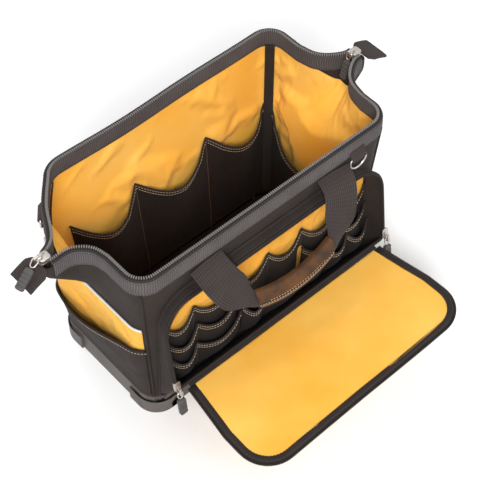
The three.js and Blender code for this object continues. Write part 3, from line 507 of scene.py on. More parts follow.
def placeAlongTree():
    tree = bpy.data.node_groups.new("placeAlong", "GeometryNodeTree")
    sockets = {}
    kinds = {"Lines": "Geometry", "Pitch": "Float", "Shape": "Object", "Material": "Material"}
    for label, kind in kinds.items():
        made = tree.interface.new_socket(label, in_out="INPUT", socket_type="NodeSocket" + kind)
        sockets[label] = made.identifier
    tree.interface.new_socket("Geometry", in_out="OUTPUT", socket_type="NodeSocketGeometry")
    given = put(tree, "NodeGroupInput").outputs
    curve = put(tree, "GeometryNodeMeshToCurve", inputs={0: given["Lines"]})
    spaced = put(tree, "GeometryNodeResampleCurve", {"mode": "LENGTH"}, {
        "Curve": curve.outputs[0], "Length": given["Pitch"]})
    along = put(tree, "GeometryNodeInputTangent")
    up = put(tree, "GeometryNodeInputNamedAttribute", {"data_type": "FLOAT_VECTOR"}, {"Name": "up"})
    turn = put(tree, "FunctionNodeAlignRotationToVector", {"axis": "X"}, {"Vector": along.outputs[0]})
    roll = put(tree, "FunctionNodeAlignRotationToVector", {"axis": "Z", "pivot_axis": "X"},
               {"Rotation": turn.outputs[0], "Vector": up.outputs[0]})
    one = put(tree, "GeometryNodeObjectInfo", inputs={"Object": given["Shape"]})
    many = put(tree, "GeometryNodeInstanceOnPoints", inputs={
        "Points": spaced.outputs[0], "Instance": one.outputs["Geometry"], "Rotation": roll.outputs[0]})
    real = put(tree, "GeometryNodeRealizeInstances", inputs={0: many.outputs[0]})
    painted = put(tree, "GeometryNodeSetMaterial", inputs={
        "Geometry": real.outputs[0], "Material": given["Material"]})
    put(tree, "NodeGroupOutput", inputs={0: painted.outputs[0]})
    return tree, sockets


placeAlong, placeSockets = placeAlongTree()


def roundedBlock(name, length, width, height, bevel):
    x, y, z = [size / 2 * milli for size in (length, width, height)]
    mesh = bpy.data.meshes.new(name)
    corners = [(i, j, k) for i in (-x, x) for j in (-y, y) for k in (-z, z)]
    faces = [(0, 1, 3, 2), (4, 6, 7, 5), (0, 4, 5, 1), (2, 3, 7, 6), (0, 2, 6, 4), (1, 5, 7, 3)]
    mesh.from_pydata(corners, [], faces)
    obj = linked(name, mesh)
    cut = obj.modifiers.new("bevel", "BEVEL")
    cut.width = bevel * milli
    cut.segments = 1
    bake(obj)
    obj.data.shade_smooth()
    return obj


def setOut(name, lines, shape, pitch, look, body="bag", nodes=(), slotName=None):
    vertices, edges, ups = [], [], []
    for points, normals, closed in lines:
        start = len(vertices)
        points = np.array(points, float) * milli
        normals = np.broadcast_to(np.array(normals, float), points.shape)
        vertices += points.tolist()
        ups += normals.tolist()
        edges += [(start + k, start + k + 1) for k in range(len(points) - 1)]
        if closed:
            edges.append((start + len(points) - 1, start))
    mesh = bpy.data.meshes.new(name)
    mesh.from_pydata(vertices, edges, [])
    up = mesh.attributes.new("up", "FLOAT_VECTOR", "POINT")
    up.data.foreach_set("vector", np.array(ups, float).ravel())
    obj = linked(name, mesh)
    mod = obj.modifiers.new("placeAlong", "NODES")
    mod.node_group = placeAlong
    for label, value in (("Pitch", pitch * milli), ("Shape", shape), ("Material", paint[look])):
        mod[placeSockets[label]] = value
    bake(obj)
    left = obj.data.attributes.get("up")
    if left:
        obj.data.attributes.remove(left)
    place(obj, None, body, nodes, slotName or slotOf[look])


stitch = roundedBlock("stitchShape", 2.7, 0.8, 0.7, 0.25)
tooth = roundedBlock("toothShape", 1.5, 3.6, 2.6, 0.35)
smallTooth = roundedBlock("smallToothShape", 1.1, 3.0, 2.4, 0.35)
stitchPitch = 4.2
seams = {}


def sew(thread, body, points, normals, closed=False):
    # lines are kept by thread and body, and each set becomes one piece at the end
    seams.setdefault((thread, body), []).append((points, normals, closed))


# The bag's outline, the same as the solids'

bag = {
    "baseLength": 374, "baseDepth": 194, "baseCorner": 28, "baseHeight": 32, "trayWall": 3,
    "rim": 302.3, "band": 24, "left": 201, "right": 206, "front": 108, "rear": 116, "corner": 30,
    "noseTip": 258, "noseHalf": 13, "slantIn": 15, "slantCorner": 40, "slantBow": 4, "noseFoot": 0.68,
}
seam = 0.3
wallIn = 1.5
liningIn = 4.4
bandFoot = bag["rim"] - bag["band"]
lowX = bag["baseLength"] / 2 - bag["trayWall"] - seam + wallIn
lowY = bag["baseDepth"] / 2 - bag["trayWall"] - seam + wallIn
lowR = bag["baseCorner"] - bag["trayWall"] + wallIn


def clamp(t, low=0.0, high=1.0):
    return min(high, max(low, t))


def ease(t):
    t = clamp(t)
    return t * t * (3 - 2 * t)


def mixed(a, b, t):
    return a + (b - a) * t


def roundedOutline(halfX, halfY, r, s):
    arc = r * math.pi / 4
    if s <= 1:
        d = s * (halfY - r + arc)
        if d <= halfY - r:
            return halfX, d
        a = (d - halfY + r) / r
    else:
        d = (s - 1) * (halfX - r + arc)
        if d >= arc:
            return halfX - r - (d - arc), halfY
        a = math.pi / 4 + d / r
    return halfX - r + r * math.cos(a), halfY - r + r * math.sin(a)


def between(a, b, start, stop, x):
    return (stop - x) / (stop - start) * a + (x - start) / (stop - start) * b


def smoothPath(points, steps=24):
    # a centripetal curve through points, as places at equal distances
    p = [np.array(q, float) for q in points]
    p = [2 * p[0] - p[1]] + p + [2 * p[-1] - p[-2]]
    out = []
    for k in range(1, len(p) - 2):
        t = [0.0]
        for a, b in zip(p[k - 1:k + 2], p[k:k + 3]):
            t.append(t[-1] + max(np.linalg.norm(b - a), 1e-6) ** 0.5)
        for step in range(steps):
            x = mixed(t[1], t[2], step / steps)
            a1, a2, a3 = [between(p[k + j - 1], p[k + j], t[j], t[j + 1], x) for j in range(3)]
            b1, b2 = between(a1, a2, t[0], t[2], x), between(a2, a3, t[1], t[3], x)
            out.append(between(b1, b2, t[1], t[2], x))
    out = np.array(out + [p[-2]])
    length = np.concatenate([[0], np.cumsum(np.linalg.norm(np.diff(out, axis=0), axis=1))])
    return out, length / length[-1]


def along(path, u):
    points, share = path
    return np.array([np.interp(u, share, points[:, k]) for k in range(points.shape[1])])


def noseCurve(flank):
    tip, half = bag["noseTip"], bag["noseHalf"]
    return smoothPath([(tip, 0), (tip, half * 0.6), (tip - 4, half - 0.6), (tip - 10, half)] + flank)


def neckOf(x, halfX, spread):
    shares = ((0, 0.5), (0.45, spread * 0.3), (0.82, spread * 0.75), (1, spread * 1.5))
    return noseCurve([(mixed(x, halfX, t), bag["noseHalf"] + out) for t, out in shares])


def slantOf(halfX):
    start = np.array((bag["noseTip"] - 25, bag["noseHalf"] + 8.0))
    stop = np.array(roundedOutline(halfX, bag["rear"], bag["slantCorner"], 1))
    run = stop - start
    bow = np.array((run[1], -run[0])) / np.linalg.norm(run) * bag["slantBow"]
    return noseCurve([tuple(start), tuple((start + stop) / 2 + bow), tuple(stop)])


def quartersOf():
    left, right, r = bag["left"], bag["right"], bag["corner"]
    slanted = left - bag["slantIn"]
    rightEnd = (right, r, neckOf(240, right, 30), 0.62)
    return {(-1, -1): (left, r, neckOf(224, left, 22), 0.62),
            (-1, 1): (slanted, bag["slantCorner"], slantOf(slanted), 1.0),
            (1, -1): rightEnd, (1, 1): rightEnd}


quarters = quartersOf()


def mouthOutline(sx, sy, s, halfY):
    halfX, r, nose, share = quarters[(sx, sy)]
    if s >= 1:
        return roundedOutline(halfX, halfY, r, s)
    if s < share:
        return tuple(along(nose, s / share))
    start = nose[0][-1][1]
    arc = r * math.pi / 4
    d = start + (s - share) / (1 - share) * (halfY - r - start + arc)
    return roundedOutline(halfX, halfY, r, d / (halfY - r + arc))


def outlineAt(sx, sy, s, z):
    k = clamp((z - bag["baseHeight"]) / (bandFoot - bag["baseHeight"]))
    halfY = bag["front"] if sy < 0 else bag["rear"]
    halfX = bag["left"] if sx < 0 else bag["right"]
    low = roundedOutline(lowX, lowY, lowR, s)
    plain = roundedOutline(halfX, halfY, bag["corner"], s)
    nosed = mouthOutline(sx, sy, s, halfY)
    swell = clamp((k - bag["noseFoot"]) / (1 - bag["noseFoot"])) ** 1.5
    x, y = [mixed(low[j], plain[j], k) + (nosed[j] - plain[j]) * swell for j in (0, 1)]
    return sx * x, sy * y


known = {}
rimSag = {"side": 60.0, "foot": 200.0, "reach": 76.0, "half": 170.0, "deep": 2.3, "ripple": 2.2,
          "start": -136.0, "wave": 45.0}


def sagAt(x, y):
    # the rear rim hangs in shallow waves between its corners
    if y < rimSag["side"]:
        return 0.0
    share = math.cos(math.pi / 2 * clamp(abs(x) / rimSag["half"]))
    return share * (rimSag["deep"] + rimSag["ripple"] * math.sin((x - rimSag["start"]) / rimSag["wave"]))


def bodyAt(sx, sy, s, z, inset):
    key = (sx, sy, round(s, 5), round(z, 2))
    if key not in known:
        x0, y0 = outlineAt(sx, sy, clamp(s - 0.01, 0, 2), z)
        x1, y1 = outlineAt(sx, sy, clamp(s + 0.01, 0, 2), z)
        x, y = outlineAt(sx, sy, s, z)
        n = np.array((y1 - y0, x0 - x1))
        n /= np.linalg.norm(n)
        if n[0] * sx + n[1] * sy < 0:
            n = -n
        if s == 0:
            n = np.array((sx, 0.0))
        if s == 2:
            n = np.array((0.0, sy))
        known[key] = (x, y, n[0], n[1])
    x, y, nx, ny = known[key]
    x, y = x - nx * inset, y - ny * inset
    return np.array((x, y, z - sagAt(x, y) * ease((z - rimSag["foot"]) / rimSag["reach"])))


def outwardAt(sx, sy, s, z):
    return bodyAt(sx, sy, s, z, -1) - bodyAt(sx, sy, s, z, 0)


def endAt(sx, t, z, inset):
    return bodyAt(sx, -1 if t < 0 else 1, abs(t), z, inset)


def sideAt(sy, t, z, inset):
    return bodyAt(-1 if t < 0 else 1, sy, 2 - abs(t), z, inset)


ends = {"left": -1, "right": 1}
sides = {"front": -1, "rear": 1}
upward, forward = (0, 0, 1), (0, -1, 0)


def faceOf(label):
    # a wall's kind, sign, places and outward direction
    if label in sides:
        sign = sides[label]
        return "side", sign, lambda t, z, inset: sideAt(sign, t, z, inset), (0, sign, 0)
    sign = ends[label]
    return "end", sign, lambda t, z, inset: endAt(sign, t, z, inset), (sign, 0, 0)


print("outline ready")


# Base

easing = {"weld": 0.00002, "bevelAngle": 35, "sharpAngle": 50}


def copied(node, name, bevel, look, body, segments=2, smooth=0, reshape=None):
    # a solid's own shape with its edges eased
    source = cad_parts[node]
    mesh = source.data.copy()
    obj = linked(name, mesh)
    obj.matrix_world = source.matrix_world.copy()
    if reshape:
        back = source.matrix_world.inverted()
        for v in mesh.vertices:
            v.co = back @ Vector(reshape(*(source.matrix_world @ v.co)))
    obj.modifiers.new("weld", "WELD").merge_threshold = easing["weld"]
    if bevel:
        cut = obj.modifiers.new("ease", "BEVEL")
        cut.width = bevel * milli
        cut.segments = segments
        cut.limit_method = "ANGLE"
        cut.angle_limit = math.radians(easing["bevelAngle"])
        cut.harden_normals = False
    if smooth:
        fine = obj.modifiers.new("fine", "SUBSURF")
        fine.levels = fine.render_levels = smooth
    bake(obj)
    obj.data.shade_smooth()
    if not smooth:
        obj.data.set_sharp_from_angle(angle=math.radians(easing["sharpAngle"]))
    place(obj, look, body, [node])


copied("base_tray", "baseTray", 1.6, "plastic", "bag", segments=3)

board = {"halfX": lowX - 5.5, "halfY": lowY - 5.5, "top": 6.2, "corner": 22.0, "thick": 3.0,
         "rough": (0.5, 45.0, 3.0)}


def bottomPanel():
    halfX, halfY, r = board["halfX"], board["halfY"], board["corner"]
    grid = lattice(lambda x, y: (x, y, board["top"]), evenly(halfX, 60), evenly(halfY, 34))
    for p in grid.reshape(-1, 3):
        dx, dy = abs(p[0]) - (halfX - r), abs(p[1]) - (halfY - r)
        if dx > 0 and dy > 0:
            reach = r * max(dx, dy) / math.hypot(dx, dy)
            p[0] = math.copysign(halfX - r + dx * reach / r, p[0])
            p[1] = math.copysign(halfY - r + dy * reach / r, p[1])
    grid[..., 2] += roughen(grid, *board["rough"])
    clothPiece("bottomPanel", grid, board["thick"], upward, "dark", ["bottom_board"], slotName="board")


bottomPanel()
print("base done")


# Outer walls

walls = {
    "inset": wallIn, "thick": 1.6, "foot": 3.5, "top": 297.0,
    "side": {"name": "Wall", "node": "_wall", "reach": 0.998, "columns": 78, "rows": 46,
             "rough": (0.9, 60.0), "seed": 2.0, "rise": (34, 40), "fall": 30},
    "end": {"name": "EndWall", "node": "_end_wall", "reach": 0.997, "columns": 120, "rows": 60,
            "rough": (1.2, 34.0), "seed": 5.0, "rise": (212, 25), "fall": 20},
}
for label in [*sides, *ends]:
    kind, sign, at, toward = faceOf(label)
    form = walls[kind]
    zs = np.linspace(walls["foot"], walls["top"], form["rows"])
    grid = lattice(lambda t, z: at(t, z, walls["inset"]), evenly(form["reach"], form["columns"]), zs)
    start, run = form["rise"]
    fade = np.array([ease((z - start) / run) * ease((bandFoot - z) / form["fall"]) for z in grid[:, 0, 2]])
    height = np.abs(roughen(grid, *form["rough"], form["seed"] + sign)) * fade[:, None]
    clothPiece(label + form["name"], raised(grid, toward, height), walls["thick"], toward, "black",
               [label + form["node"]])
print("walls done")


# Linings, which settle behind the inner pockets

rearPocket = {"from": -0.8, "to": 0.97, "seams": [0, 0.32, 0.68, 1], "peak": 182, "dip": 32, "bulge": 22}
endInner = {"from": -0.95, "to": 0.95, "seams": [0, 1], "peak": 172, "dip": 48, "bulge": 18,
            "slack": 9.0, "skew": 2.2}
linings = {
    "inset": liningIn, "thick": 0.9, "foot": 8.0, "top": 297.0, "noseDrop": 40.0, "noseEnd": 0.9,
    "heldAbove": 268.0, "clear": 2.5, "least": 0.5, "fade": 26,
    "side": {"reach": 0.998, "columns": 84, "rows": 56, "before": rearPocket},
    "end": {"reach": 0.997, "columns": 110, "rows": 60, "before": endInner},
}
folds = {
    "rear": {"excess": 0.045, "low": -0.2, "high": 7.0, "hold": 0.012, "seed": 4.0},
    "front": {"excess": 0.04, "low": -0.2, "high": 5.0, "hold": 0.02, "seed": 9.0},
    "left": {"excess": 0.05, "low": -0.2, "high": 7.0, "hold": 0.012, "seed": 2.0},
    "right": {"excess": 0.06, "low": -0.2, "high": 9.0, "hold": 0.008, "seed": 6.0},
}


def scallop(u, seamsAt):
    k = 0
    while k < len(seamsAt) - 2 and u > seamsAt[k + 1]:
        k += 1
    return max(0.0, math.sin(math.pi * (u - seamsAt[k]) / (seamsAt[k + 1] - seamsAt[k])))


def roomBehind(form, t, z, high):
    # how far a fold may stand out before it meets the pocket in front of it
    if not form["from"] < t < form["to"]:
        return high if z > form["peak"] else linings["least"]
    swell = scallop((t - form["from"]) / (form["to"] - form["from"]), form["seams"])
    edge = form["peak"] - form["dip"] * swell
    rise = clamp((z - bag["baseHeight"]) / (edge - bag["baseHeight"]))
    near = clamp(form["bulge"] * swell * rise - linings["clear"], 0.0, high)
    return mixed(near, high, ease((z - edge) / linings["fade"]))


def liningGrid(kind, at, ts):
    low, high, rows = linings["foot"], linings["top"], linings[kind]["rows"]
    if kind == "side":
        return lattice(lambda t, z: at(t, z, linings["inset"]), ts, np.linspace(low, high, rows))
    # the yellow stops lower in the nose, where the black wall shows inside
    tops = [high - linings["noseDrop"] * (1 - ease(abs(t) / linings["noseEnd"])) for t in ts]
    return lattice(lambda k, v: at(ts[k], mixed(low, tops[k], v), linings["inset"]), range(len(ts)),
                   shares(rows))


for label in [*sides, *ends]:
    kind, sign, at, toward = faceOf(label)
    form, fold = linings[kind], dict(folds[label])
    inward = tuple(-c for c in toward)
    ts = evenly(form["reach"], form["columns"])
    grid = liningGrid(kind, at, ts)
    fold["high"] = np.array([[roomBehind(form["before"], t, p[2], fold["high"]) for t, p in zip(ts, row)]
                             for row in grid])
    grid = settle(grid, inward, pins=np.where(grid[..., 2] > linings["heldAbove"], 1.0, 0.0), **fold)
    clothPiece(label + "Lining", grid, linings["thick"], inward, "lining", [label + "_lining"])
print("linings done")


# Piping and binding over the corner seams

piping = {"corner": 1.0, "section": oval(3.4, 3.4), "inset": 0.4, "rows": 40, "bindingInset": 8.6,
          "bindingFoot": 12, "bindingSection": rectangle(6.5, 0.8, 0.6)}
for sx in (-1, 1):
    for sy in (-1, 1):
        zs = np.linspace(bag["baseHeight"] - 2, bandFoot + 1, piping["rows"])
        spine = np.array([bodyAt(sx, sy, piping["corner"], z, piping["inset"]) for z in zs])
        out = np.array([outwardAt(sx, sy, piping["corner"], z) for z in zs])
        tag = ("left" if sx < 0 else "right") + ("Front" if sy < 0 else "Rear")
        sweep(tag + "CornerPiping", spine, out, piping["section"], "binding")
        zs = np.linspace(piping["bindingFoot"], bandFoot + 2, piping["rows"])
        inside = np.array([bodyAt(sx, sy, piping["corner"], z, piping["bindingInset"]) for z in zs])
        sweep(tag + "InnerBinding", inside, out, piping["bindingSection"], "binding", slotName="dark_fabric")


# Rim: herringbone tape folded over the walls, the zip's tape and its teeth

# sections are pairs of inset and height
rim = bag["rim"]
rimShape = {
    "noseStart": 0.15, "stations": 75, "sideStations": 14, "teeth": (6.4, rim + 2.3), "pitch": 2.9,
    "tape": [
        (0.2, bandFoot), (-0.3, bandFoot + 0.8), (-0.5, bandFoot + 5), (-0.6, rim - 12), (-0.4, rim - 5),
        (0.0, rim - 2), (0.8, rim - 0.4), (2.0, rim), (4.6, rim), (5.6, rim - 0.5), (6.1, rim - 2),
        (6.3, rim - 8), (6.4, bandFoot + 3), (6.2, bandFoot - 1.6), (5.6, bandFoot - 2),
        (5.0, bandFoot - 1.6), (4.9, bandFoot + 4), (4.9, rim - 3), (1.4, rim - 3), (1.3, bandFoot + 4),
        (1.2, bandFoot + 0.4)],
    "zipTape": [
        (0.6, rim + 0.1), (0.7, rim + 0.7), (3.0, rim + 0.95), (6.6, rim + 0.8), (7.0, rim + 0.4),
        (6.4, rim)],
    "outerSeams": [(-0.45, bandFoot + 2.2), (-0.1, rim - 2.4)],
    "innerSeam": (6.55, bandFoot + 1.0), "topSeam": (1.9, rim + 0.95),
}


def rimLine(sy, inset, z):
    # stations from the left neck round to the right neck
    s = np.concatenate([np.linspace(rimShape["noseStart"], 1.25, rimShape["stations"]),
                        np.linspace(1.3, 2, rimShape["sideStations"])])
    line = [bodyAt(sx, sy, q, bandFoot, inset) for sx, run in ((-1, s), (1, s[-2::-1])) for q in run]
    return np.array([(x, y, z - sagAt(x, y)) for x, y, _ in line])


def rimSweep(name, sy, look, nodes=()):
    grid = np.stack([rimLine(sy, *where) for where in rimShape[look]], 1)
    if sy > 0:
        grid = grid[:, ::-1]
    place(fromGrid(name, grid, around=True, caps=True), look, "bag", nodes)


for label, sy in sides.items():
    rimSweep(label + "RimTape", sy, "tape", [label + "_rim_tape"])
    rimSweep(label + "ZipTape", sy, "zipTape")
    line = rimLine(sy, *rimShape["teeth"])
    setOut(label + "ZipTeeth", [(line, upward, False)], tooth, rimShape["pitch"], "teeth", "bag",
           [label + "_zip_chain"])
    outward = rimLine(sy, -1, 0) - rimLine(sy, 0, 0)
    for where in rimShape["outerSeams"]:
        sew("greyThread", "bag", rimLine(sy, *where), outward)
    sew("greyThread", "bag", rimLine(sy, *rimShape["innerSeam"]), -outward)
    sew("greyThread", "bag", rimLine(sy, *rimShape["topSeam"]), upward)
for label in sides:
    copied(label + "_rim_rod", label + "RimRod", 0, "metal", "bag",
           reshape=lambda x, y, z: (x, y, z - milli * sagAt(1000 * x, 1000 * y)))
print("rim done")


# End walls: accent panel, reflective piping and the open pocket

accent = {"t": 0.955, "foot": 34.0, "top": 196.0, "thick": 0.9, "inset": 0.3, "fold": 3.0, "fade": 20,
          "seed": 11.0, "piping": 198.3, "pipingSection": oval(2.7, 3.0, 12)}
endPocket = {"low": 112.0, "high": 152.0, "from": -70, "run": 120, "bulge": 15.0, "thick": 1.6, "out": 1.6,
             "past": 0.012, "rough": (1.3, 32.0), "seed": 7.0, "binding": oval(4.2, 3.2), "lift": 0.35}


def endPocketEdge(sx, t):
    y = endAt(sx, t, bag["baseHeight"], 0)[1]
    return mixed(endPocket["high"], endPocket["low"], ease((y - endPocket["from"]) / endPocket["run"]))


def endPocketBulge(t, v):
    share = clamp((t + accent["t"]) / (2 * accent["t"]))
    return endPocket["bulge"] * math.sin(math.pi * share) ** 0.7 * ease(v)


def endPocketAt(sx, t, v):
    p = endAt(sx, t, mixed(accent["foot"], endPocketEdge(sx, t), v), -endPocket["out"])
    p[0] += sx * endPocketBulge(t, v)
    return p


def accentRoom(sx, t, z):
    # how far the accent may fold out behind the open pocket
    edge, most = endPocketEdge(sx, t), accent["fold"]
    near = clamp(endPocketBulge(t, clamp((z - accent["foot"]) / (edge - accent["foot"]))) - 1.0, 0.0, most)
    return mixed(near, most, ease((z - edge) / accent["fade"]))


for label, sx in ends.items():
    toward = (sx, 0, 0)
    ts, zs = evenly(accent["t"], 64), np.linspace(accent["foot"], accent["top"], 52)
    grid = lattice(lambda t, z: endAt(sx, t, z, accent["inset"]), ts, zs)
    high = np.array([[accentRoom(sx, t, p[2]) for t, p in zip(ts, row)] for row in grid])
    grid = settle(grid, toward, low=-0.1, high=high, seed=accent["seed"])
    clothPiece(label + "EndAccent", grid, accent["thick"], toward, "yellow", [label + "_end_accent"])

    wall, spine = [np.array([endAt(sx, t, accent["piping"], inset) for t in ts]) for inset in (0, -1)]
    sweep(label + "ReflectivePiping", spine, spine - wall, accent["pipingSection"], "reflective",
          nodes=[label + "_reflective_piping"])

    vs = shares(40)
    grid = lattice(lambda t, v: endPocketAt(sx, t, v), evenly(accent["t"] + endPocket["past"], 64), vs)
    height = roughen(grid, *endPocket["rough"], endPocket["seed"] + sx) * np.sin(np.pi * vs)[:, None]
    grid = raised(grid, toward, height)
    clothPiece(label + "EndPocket", grid, endPocket["thick"], toward, "black", [label + "_end_pocket"])
    up = normalsOf(grid, toward)
    sweep(label + "EndPocketBinding", grid[-1], up[-1], endPocket["binding"], "binding")
    sew("cream", "bag", grid[-3] + up[-3] * endPocket["lift"], up[-3])
print("ends done")


# Inner pockets

inner = {"inset": 5.9, "foot": 7.5, "rows": 44, "thick": 1.3, "seamsBelow": (2.8, 7.8), "rough": (0.9, 26.0),
         "binding": oval(3.4, 2.8, 8), "slackFrom": 0.4}


def innerPocketAt(at, form, t, v):
    swell = scallop((t - form["from"]) / (form["to"] - form["from"]), form["seams"])
    edge = form["peak"] - form["dip"] * swell
    z = mixed(inner["foot"], edge, v)
    rise = clamp((z - bag["baseHeight"]) / (edge - bag["baseHeight"]))
    return at(t, z, inner["inset"] + form["bulge"] * swell * rise)


def stitchedEdge(grid, toward, depths, lift=0.45):
    # rows of stitches at distances below a sheet's top edge
    n = normalsOf(grid, toward)[-1]
    step = grid[-2] - grid[-1]
    step /= np.linalg.norm(step, axis=1, keepdims=True)
    for depth in depths:
        sew("cream", "bag", (grid[-1] + step * depth + n * lift)[1:-1], n[1:-1])


def edgeBinding(name, grid, toward, section, slotName=None):
    sweep(name, grid[-1], normalsOf(grid, toward)[-1], section, "binding", slotName=slotName)


def innerPocket(label, form, columns, seed, name, node, edgeName):
    kind, sign, at, toward = faceOf(label)
    inward = tuple(-c for c in toward)
    ts, vs = np.linspace(form["from"], form["to"], columns), shares(inner["rows"])
    grid = lattice(lambda t, v: innerPocketAt(at, form, t, v), ts, vs)
    if kind == "end":
        # the mouth hangs slack, most of it near the rear corner
        lean = form["slack"] * np.sin(np.pi * (shares(columns) ** form["skew"]))
        mouth = np.array([ease((v - inner["slackFrom"]) / (1 - inner["slackFrom"])) for v in vs])
        grid[..., 0] -= sign * mouth[:, None] * lean[None, :]
    grid = raised(grid, inward, roughen(grid, *inner["rough"], seed))
    clothPiece(name, grid, inner["thick"], inward, "dark", [node])
    stitchedEdge(grid, inward, inner["seamsBelow"])
    edgeBinding(edgeName, grid, inward, inner["binding"], "dark_fabric")
    for u in form["seams"][1:-1]:
        sew("brownThread", "bag", grid[:, round(u * (columns - 1))] + np.array((0, -0.5, 0)), inward)


innerPocket("rear", rearPocket, 126, 3.0, "rearInnerPockets", "rear_inner_pockets", "rearPocketBinding")
for label in ends:
    innerPocket(label, endInner, 90, 8.0, label + "InnerPocket", label + "_inner_pocket",
                label + "InnerPocketBinding")
print("inner pockets done")


# End tabs, sliders and pulls

slider = {"at": 0.2485, "keep": 0.004, "squeeze": 0.55, "narrow": 0.85}
tab = {"start": 256.8, "length": 31, "width": 40, "rise": 299.7, "droop": 12, "thick": 3.8, "neck": 0.72,
       "edge": 1.2}
for label, sx in ends.items():
    def tabAt(u, v):
        x, width = tab["start"] + tab["length"] * u, mixed(tab["neck"], 1, clamp(u * 4)) * tab["width"]
        return sx * x, v * width, tab["rise"] - tab["droop"] * u ** 1.5 - tab["edge"] * abs(2 * v) ** 6

    grid = lattice(tabAt, shares(22), evenly(0.5, 20))
    clothPiece(label + "ZipTab", grid, tab["thick"], upward, "webbing", [label + "_zip_tab"])
    for line in (grid[2:-2, 3], grid[2:-2, -4], grid[2, 2:-2], grid[-3, 2:-2]):
        sew("greyThread", "bag", line + np.array((0, 0, 0.3)), upward)
    centre = sx * slider["at"]

    def shorter(x, y, z):
        ahead = centre - x
        if ahead < slider["keep"]:
            ahead = slider["keep"] + (ahead - slider["keep"]) * slider["squeeze"]
        return centre - ahead, y * slider["narrow"], z

    for part, tag, runner, bevel, form in (("", "", "_zip_runner", 0.5, shorter),
                                           ("_pocket", "Pocket", "_pocket_runner", 0.35, None)):
        pull = label + part + "_pull"
        copied(label + part + "_slider", label + tag + "Slider", bevel, "metal", label + runner, reshape=form)
        copied(pull + "_link", label + tag + "PullLink", 0, "metal", pull, smooth=1)
        copied(pull + "_grip", label + tag + "PullGrip", 0.5, "rubber", pull)
print("tabs and sliders done")


# Front pocket

pocket = {
    "half": 181, "backHalf": 173, "top": 248, "hinge": 107, "hingeOut": 138, "topOut": 119, "foot": 38,
    "corner": 46, "footCorner": 8, "cloth": 2.2, "puff": 1.4, "chain": 3, "chainStart": 7.5, "pitch": 1.8,
}
rimLean = (pocket["hingeOut"] - pocket["topOut"]) / (pocket["top"] - pocket["hinge"])
rimNormal = np.array((0, -1, rimLean)) / math.hypot(1, rimLean)


def rimFace(z):
    return -(pocket["hingeOut"] - (z - pocket["hinge"]) * rimLean)


def frontFace(z):
    return sideAt(-1, 0, z, wallIn)[1]


def loopOf(halfX, z0, z1, r, rFoot):
    quarter = math.pi / 2
    right = [(x, z0) for x in np.linspace(0, halfX - rFoot, 14)[:-1]]
    right += [(halfX - rFoot + rFoot * c, z0 + rFoot + rFoot * s) for c, s in turnOf(-quarter, quarter, 5)]
    right += [(halfX, z) for z in np.linspace(z0 + rFoot, z1 - r, 12)[1:-1]]
    right += [(halfX - r + r * c, z1 - r + r * s) for c, s in turnOf(0, quarter, 12)]
    right += [(x, z1) for x in np.linspace(halfX - r, 0, 14)[1:]]
    return np.array(right + [(-x, z) for x, z in right[-2:0:-1]])


def rimLoop(grow):
    return loopOf(pocket["half"] - grow, pocket["hinge"] + grow, pocket["top"] - grow,
                  pocket["corner"] - grow, pocket["footCorner"] - grow)


def backLoop(grow):
    return loopOf(pocket["backHalf"] - grow, pocket["foot"] + grow, pocket["top"] + 3 - grow,
                  pocket["corner"] - grow, pocket["footCorner"] - grow)


def gussetAt(pair, v):
    (bx, bz), (fx, fz) = pair
    return mixed(bx, fx, v), mixed(frontFace(bz) - 0.3, rimFace(fz), v), mixed(bz, fz, v)


def addGusset():
    grid = lattice(gussetAt, list(zip(backLoop(0), rimLoop(0))), shares(14))
    away = grid - grid.mean(1, keepdims=True)
    away[..., 1] = 0
    away /= np.linalg.norm(away, axis=2, keepdims=True) + 1e-9
    puff = np.sin(np.pi * shares(len(grid)))[:, None]
    grid = grid + away * (puff * pocket["puff"] + roughen(grid, 1.0, 24.0, 5.0) * puff)[..., None]
    obj = fromGrid("pocketGusset", grid, around=True)
    solid = obj.modifiers.new("thickness", "SOLIDIFY")
    solid.thickness = pocket["cloth"] * milli
    solid.offset = -1
    turnIf(obj, sum(f.normal.dot(Vector((f.center.x, 0, f.center.z - 0.15))) for f in obj.data.polygons))
    bake(obj)
    place(obj, "black", "bag", ["pocket_gusset"])
    for k in (-3, 3):
        sew("greyThread", "bag", grid[k] + away[k] * 0.4, away[k], True)


def addPocketEdges():
    back = np.array([(x, frontFace(z) - 1.6, z) for x, z in backLoop(-1.0)])
    edge = np.array([(x, rimFace(z) - 0.5, z) for x, z in rimLoop(1.0)])
    for name, spine, up, section in (("gussetBackPiping", back, forward, oval(3.4, 3.4)),
                                     ("pocketEdgeBinding", edge, rimNormal, oval(4.8, 3.6))):
        sweep(name, spine, np.tile(up, (len(spine), 1)), section, "binding", closed=True)
    loop = rimLoop(pocket["chain"] / 2)
    above = [k for k, (x, z) in enumerate(loop) if z > pocket["hinge"] + pocket["chainStart"]]
    line = np.array([(x, rimFace(z) - 2.3, z) for x, z in loop[above[0]:above[-1] + 1]])
    setOut("pocketZipTeeth", [(line, rimNormal, False)], smallTooth, pocket["pitch"], "darkTeeth", "bag",
           ["pocket_zip_chain"])


addGusset()
addPocketEdges()

backPanel = {"foot": 62.0, "below": 3.0, "gap": 2.6, "out": 1.3, "thick": 0.9}


def backPanelAt(u, z):
    r = pocket["corner"] - pocket["cloth"]
    over = clamp((z - (pocket["top"] - pocket["corner"])) / r)
    half = pocket["backHalf"] - pocket["corner"] + r * math.sqrt(1 - over * over) - backPanel["gap"]
    return u * half, frontFace(z) - backPanel["out"], z


zs = np.linspace(backPanel["foot"], pocket["top"] - pocket["cloth"] - backPanel["below"], 50)
grid = settle(lattice(backPanelAt, evenly(1, 70), zs), forward, low=-0.1, high=3.5, seed=12.0)
clothPiece("pocketBackPanel", grid, backPanel["thick"], forward, "yellow", ["pocket_back_panel"])

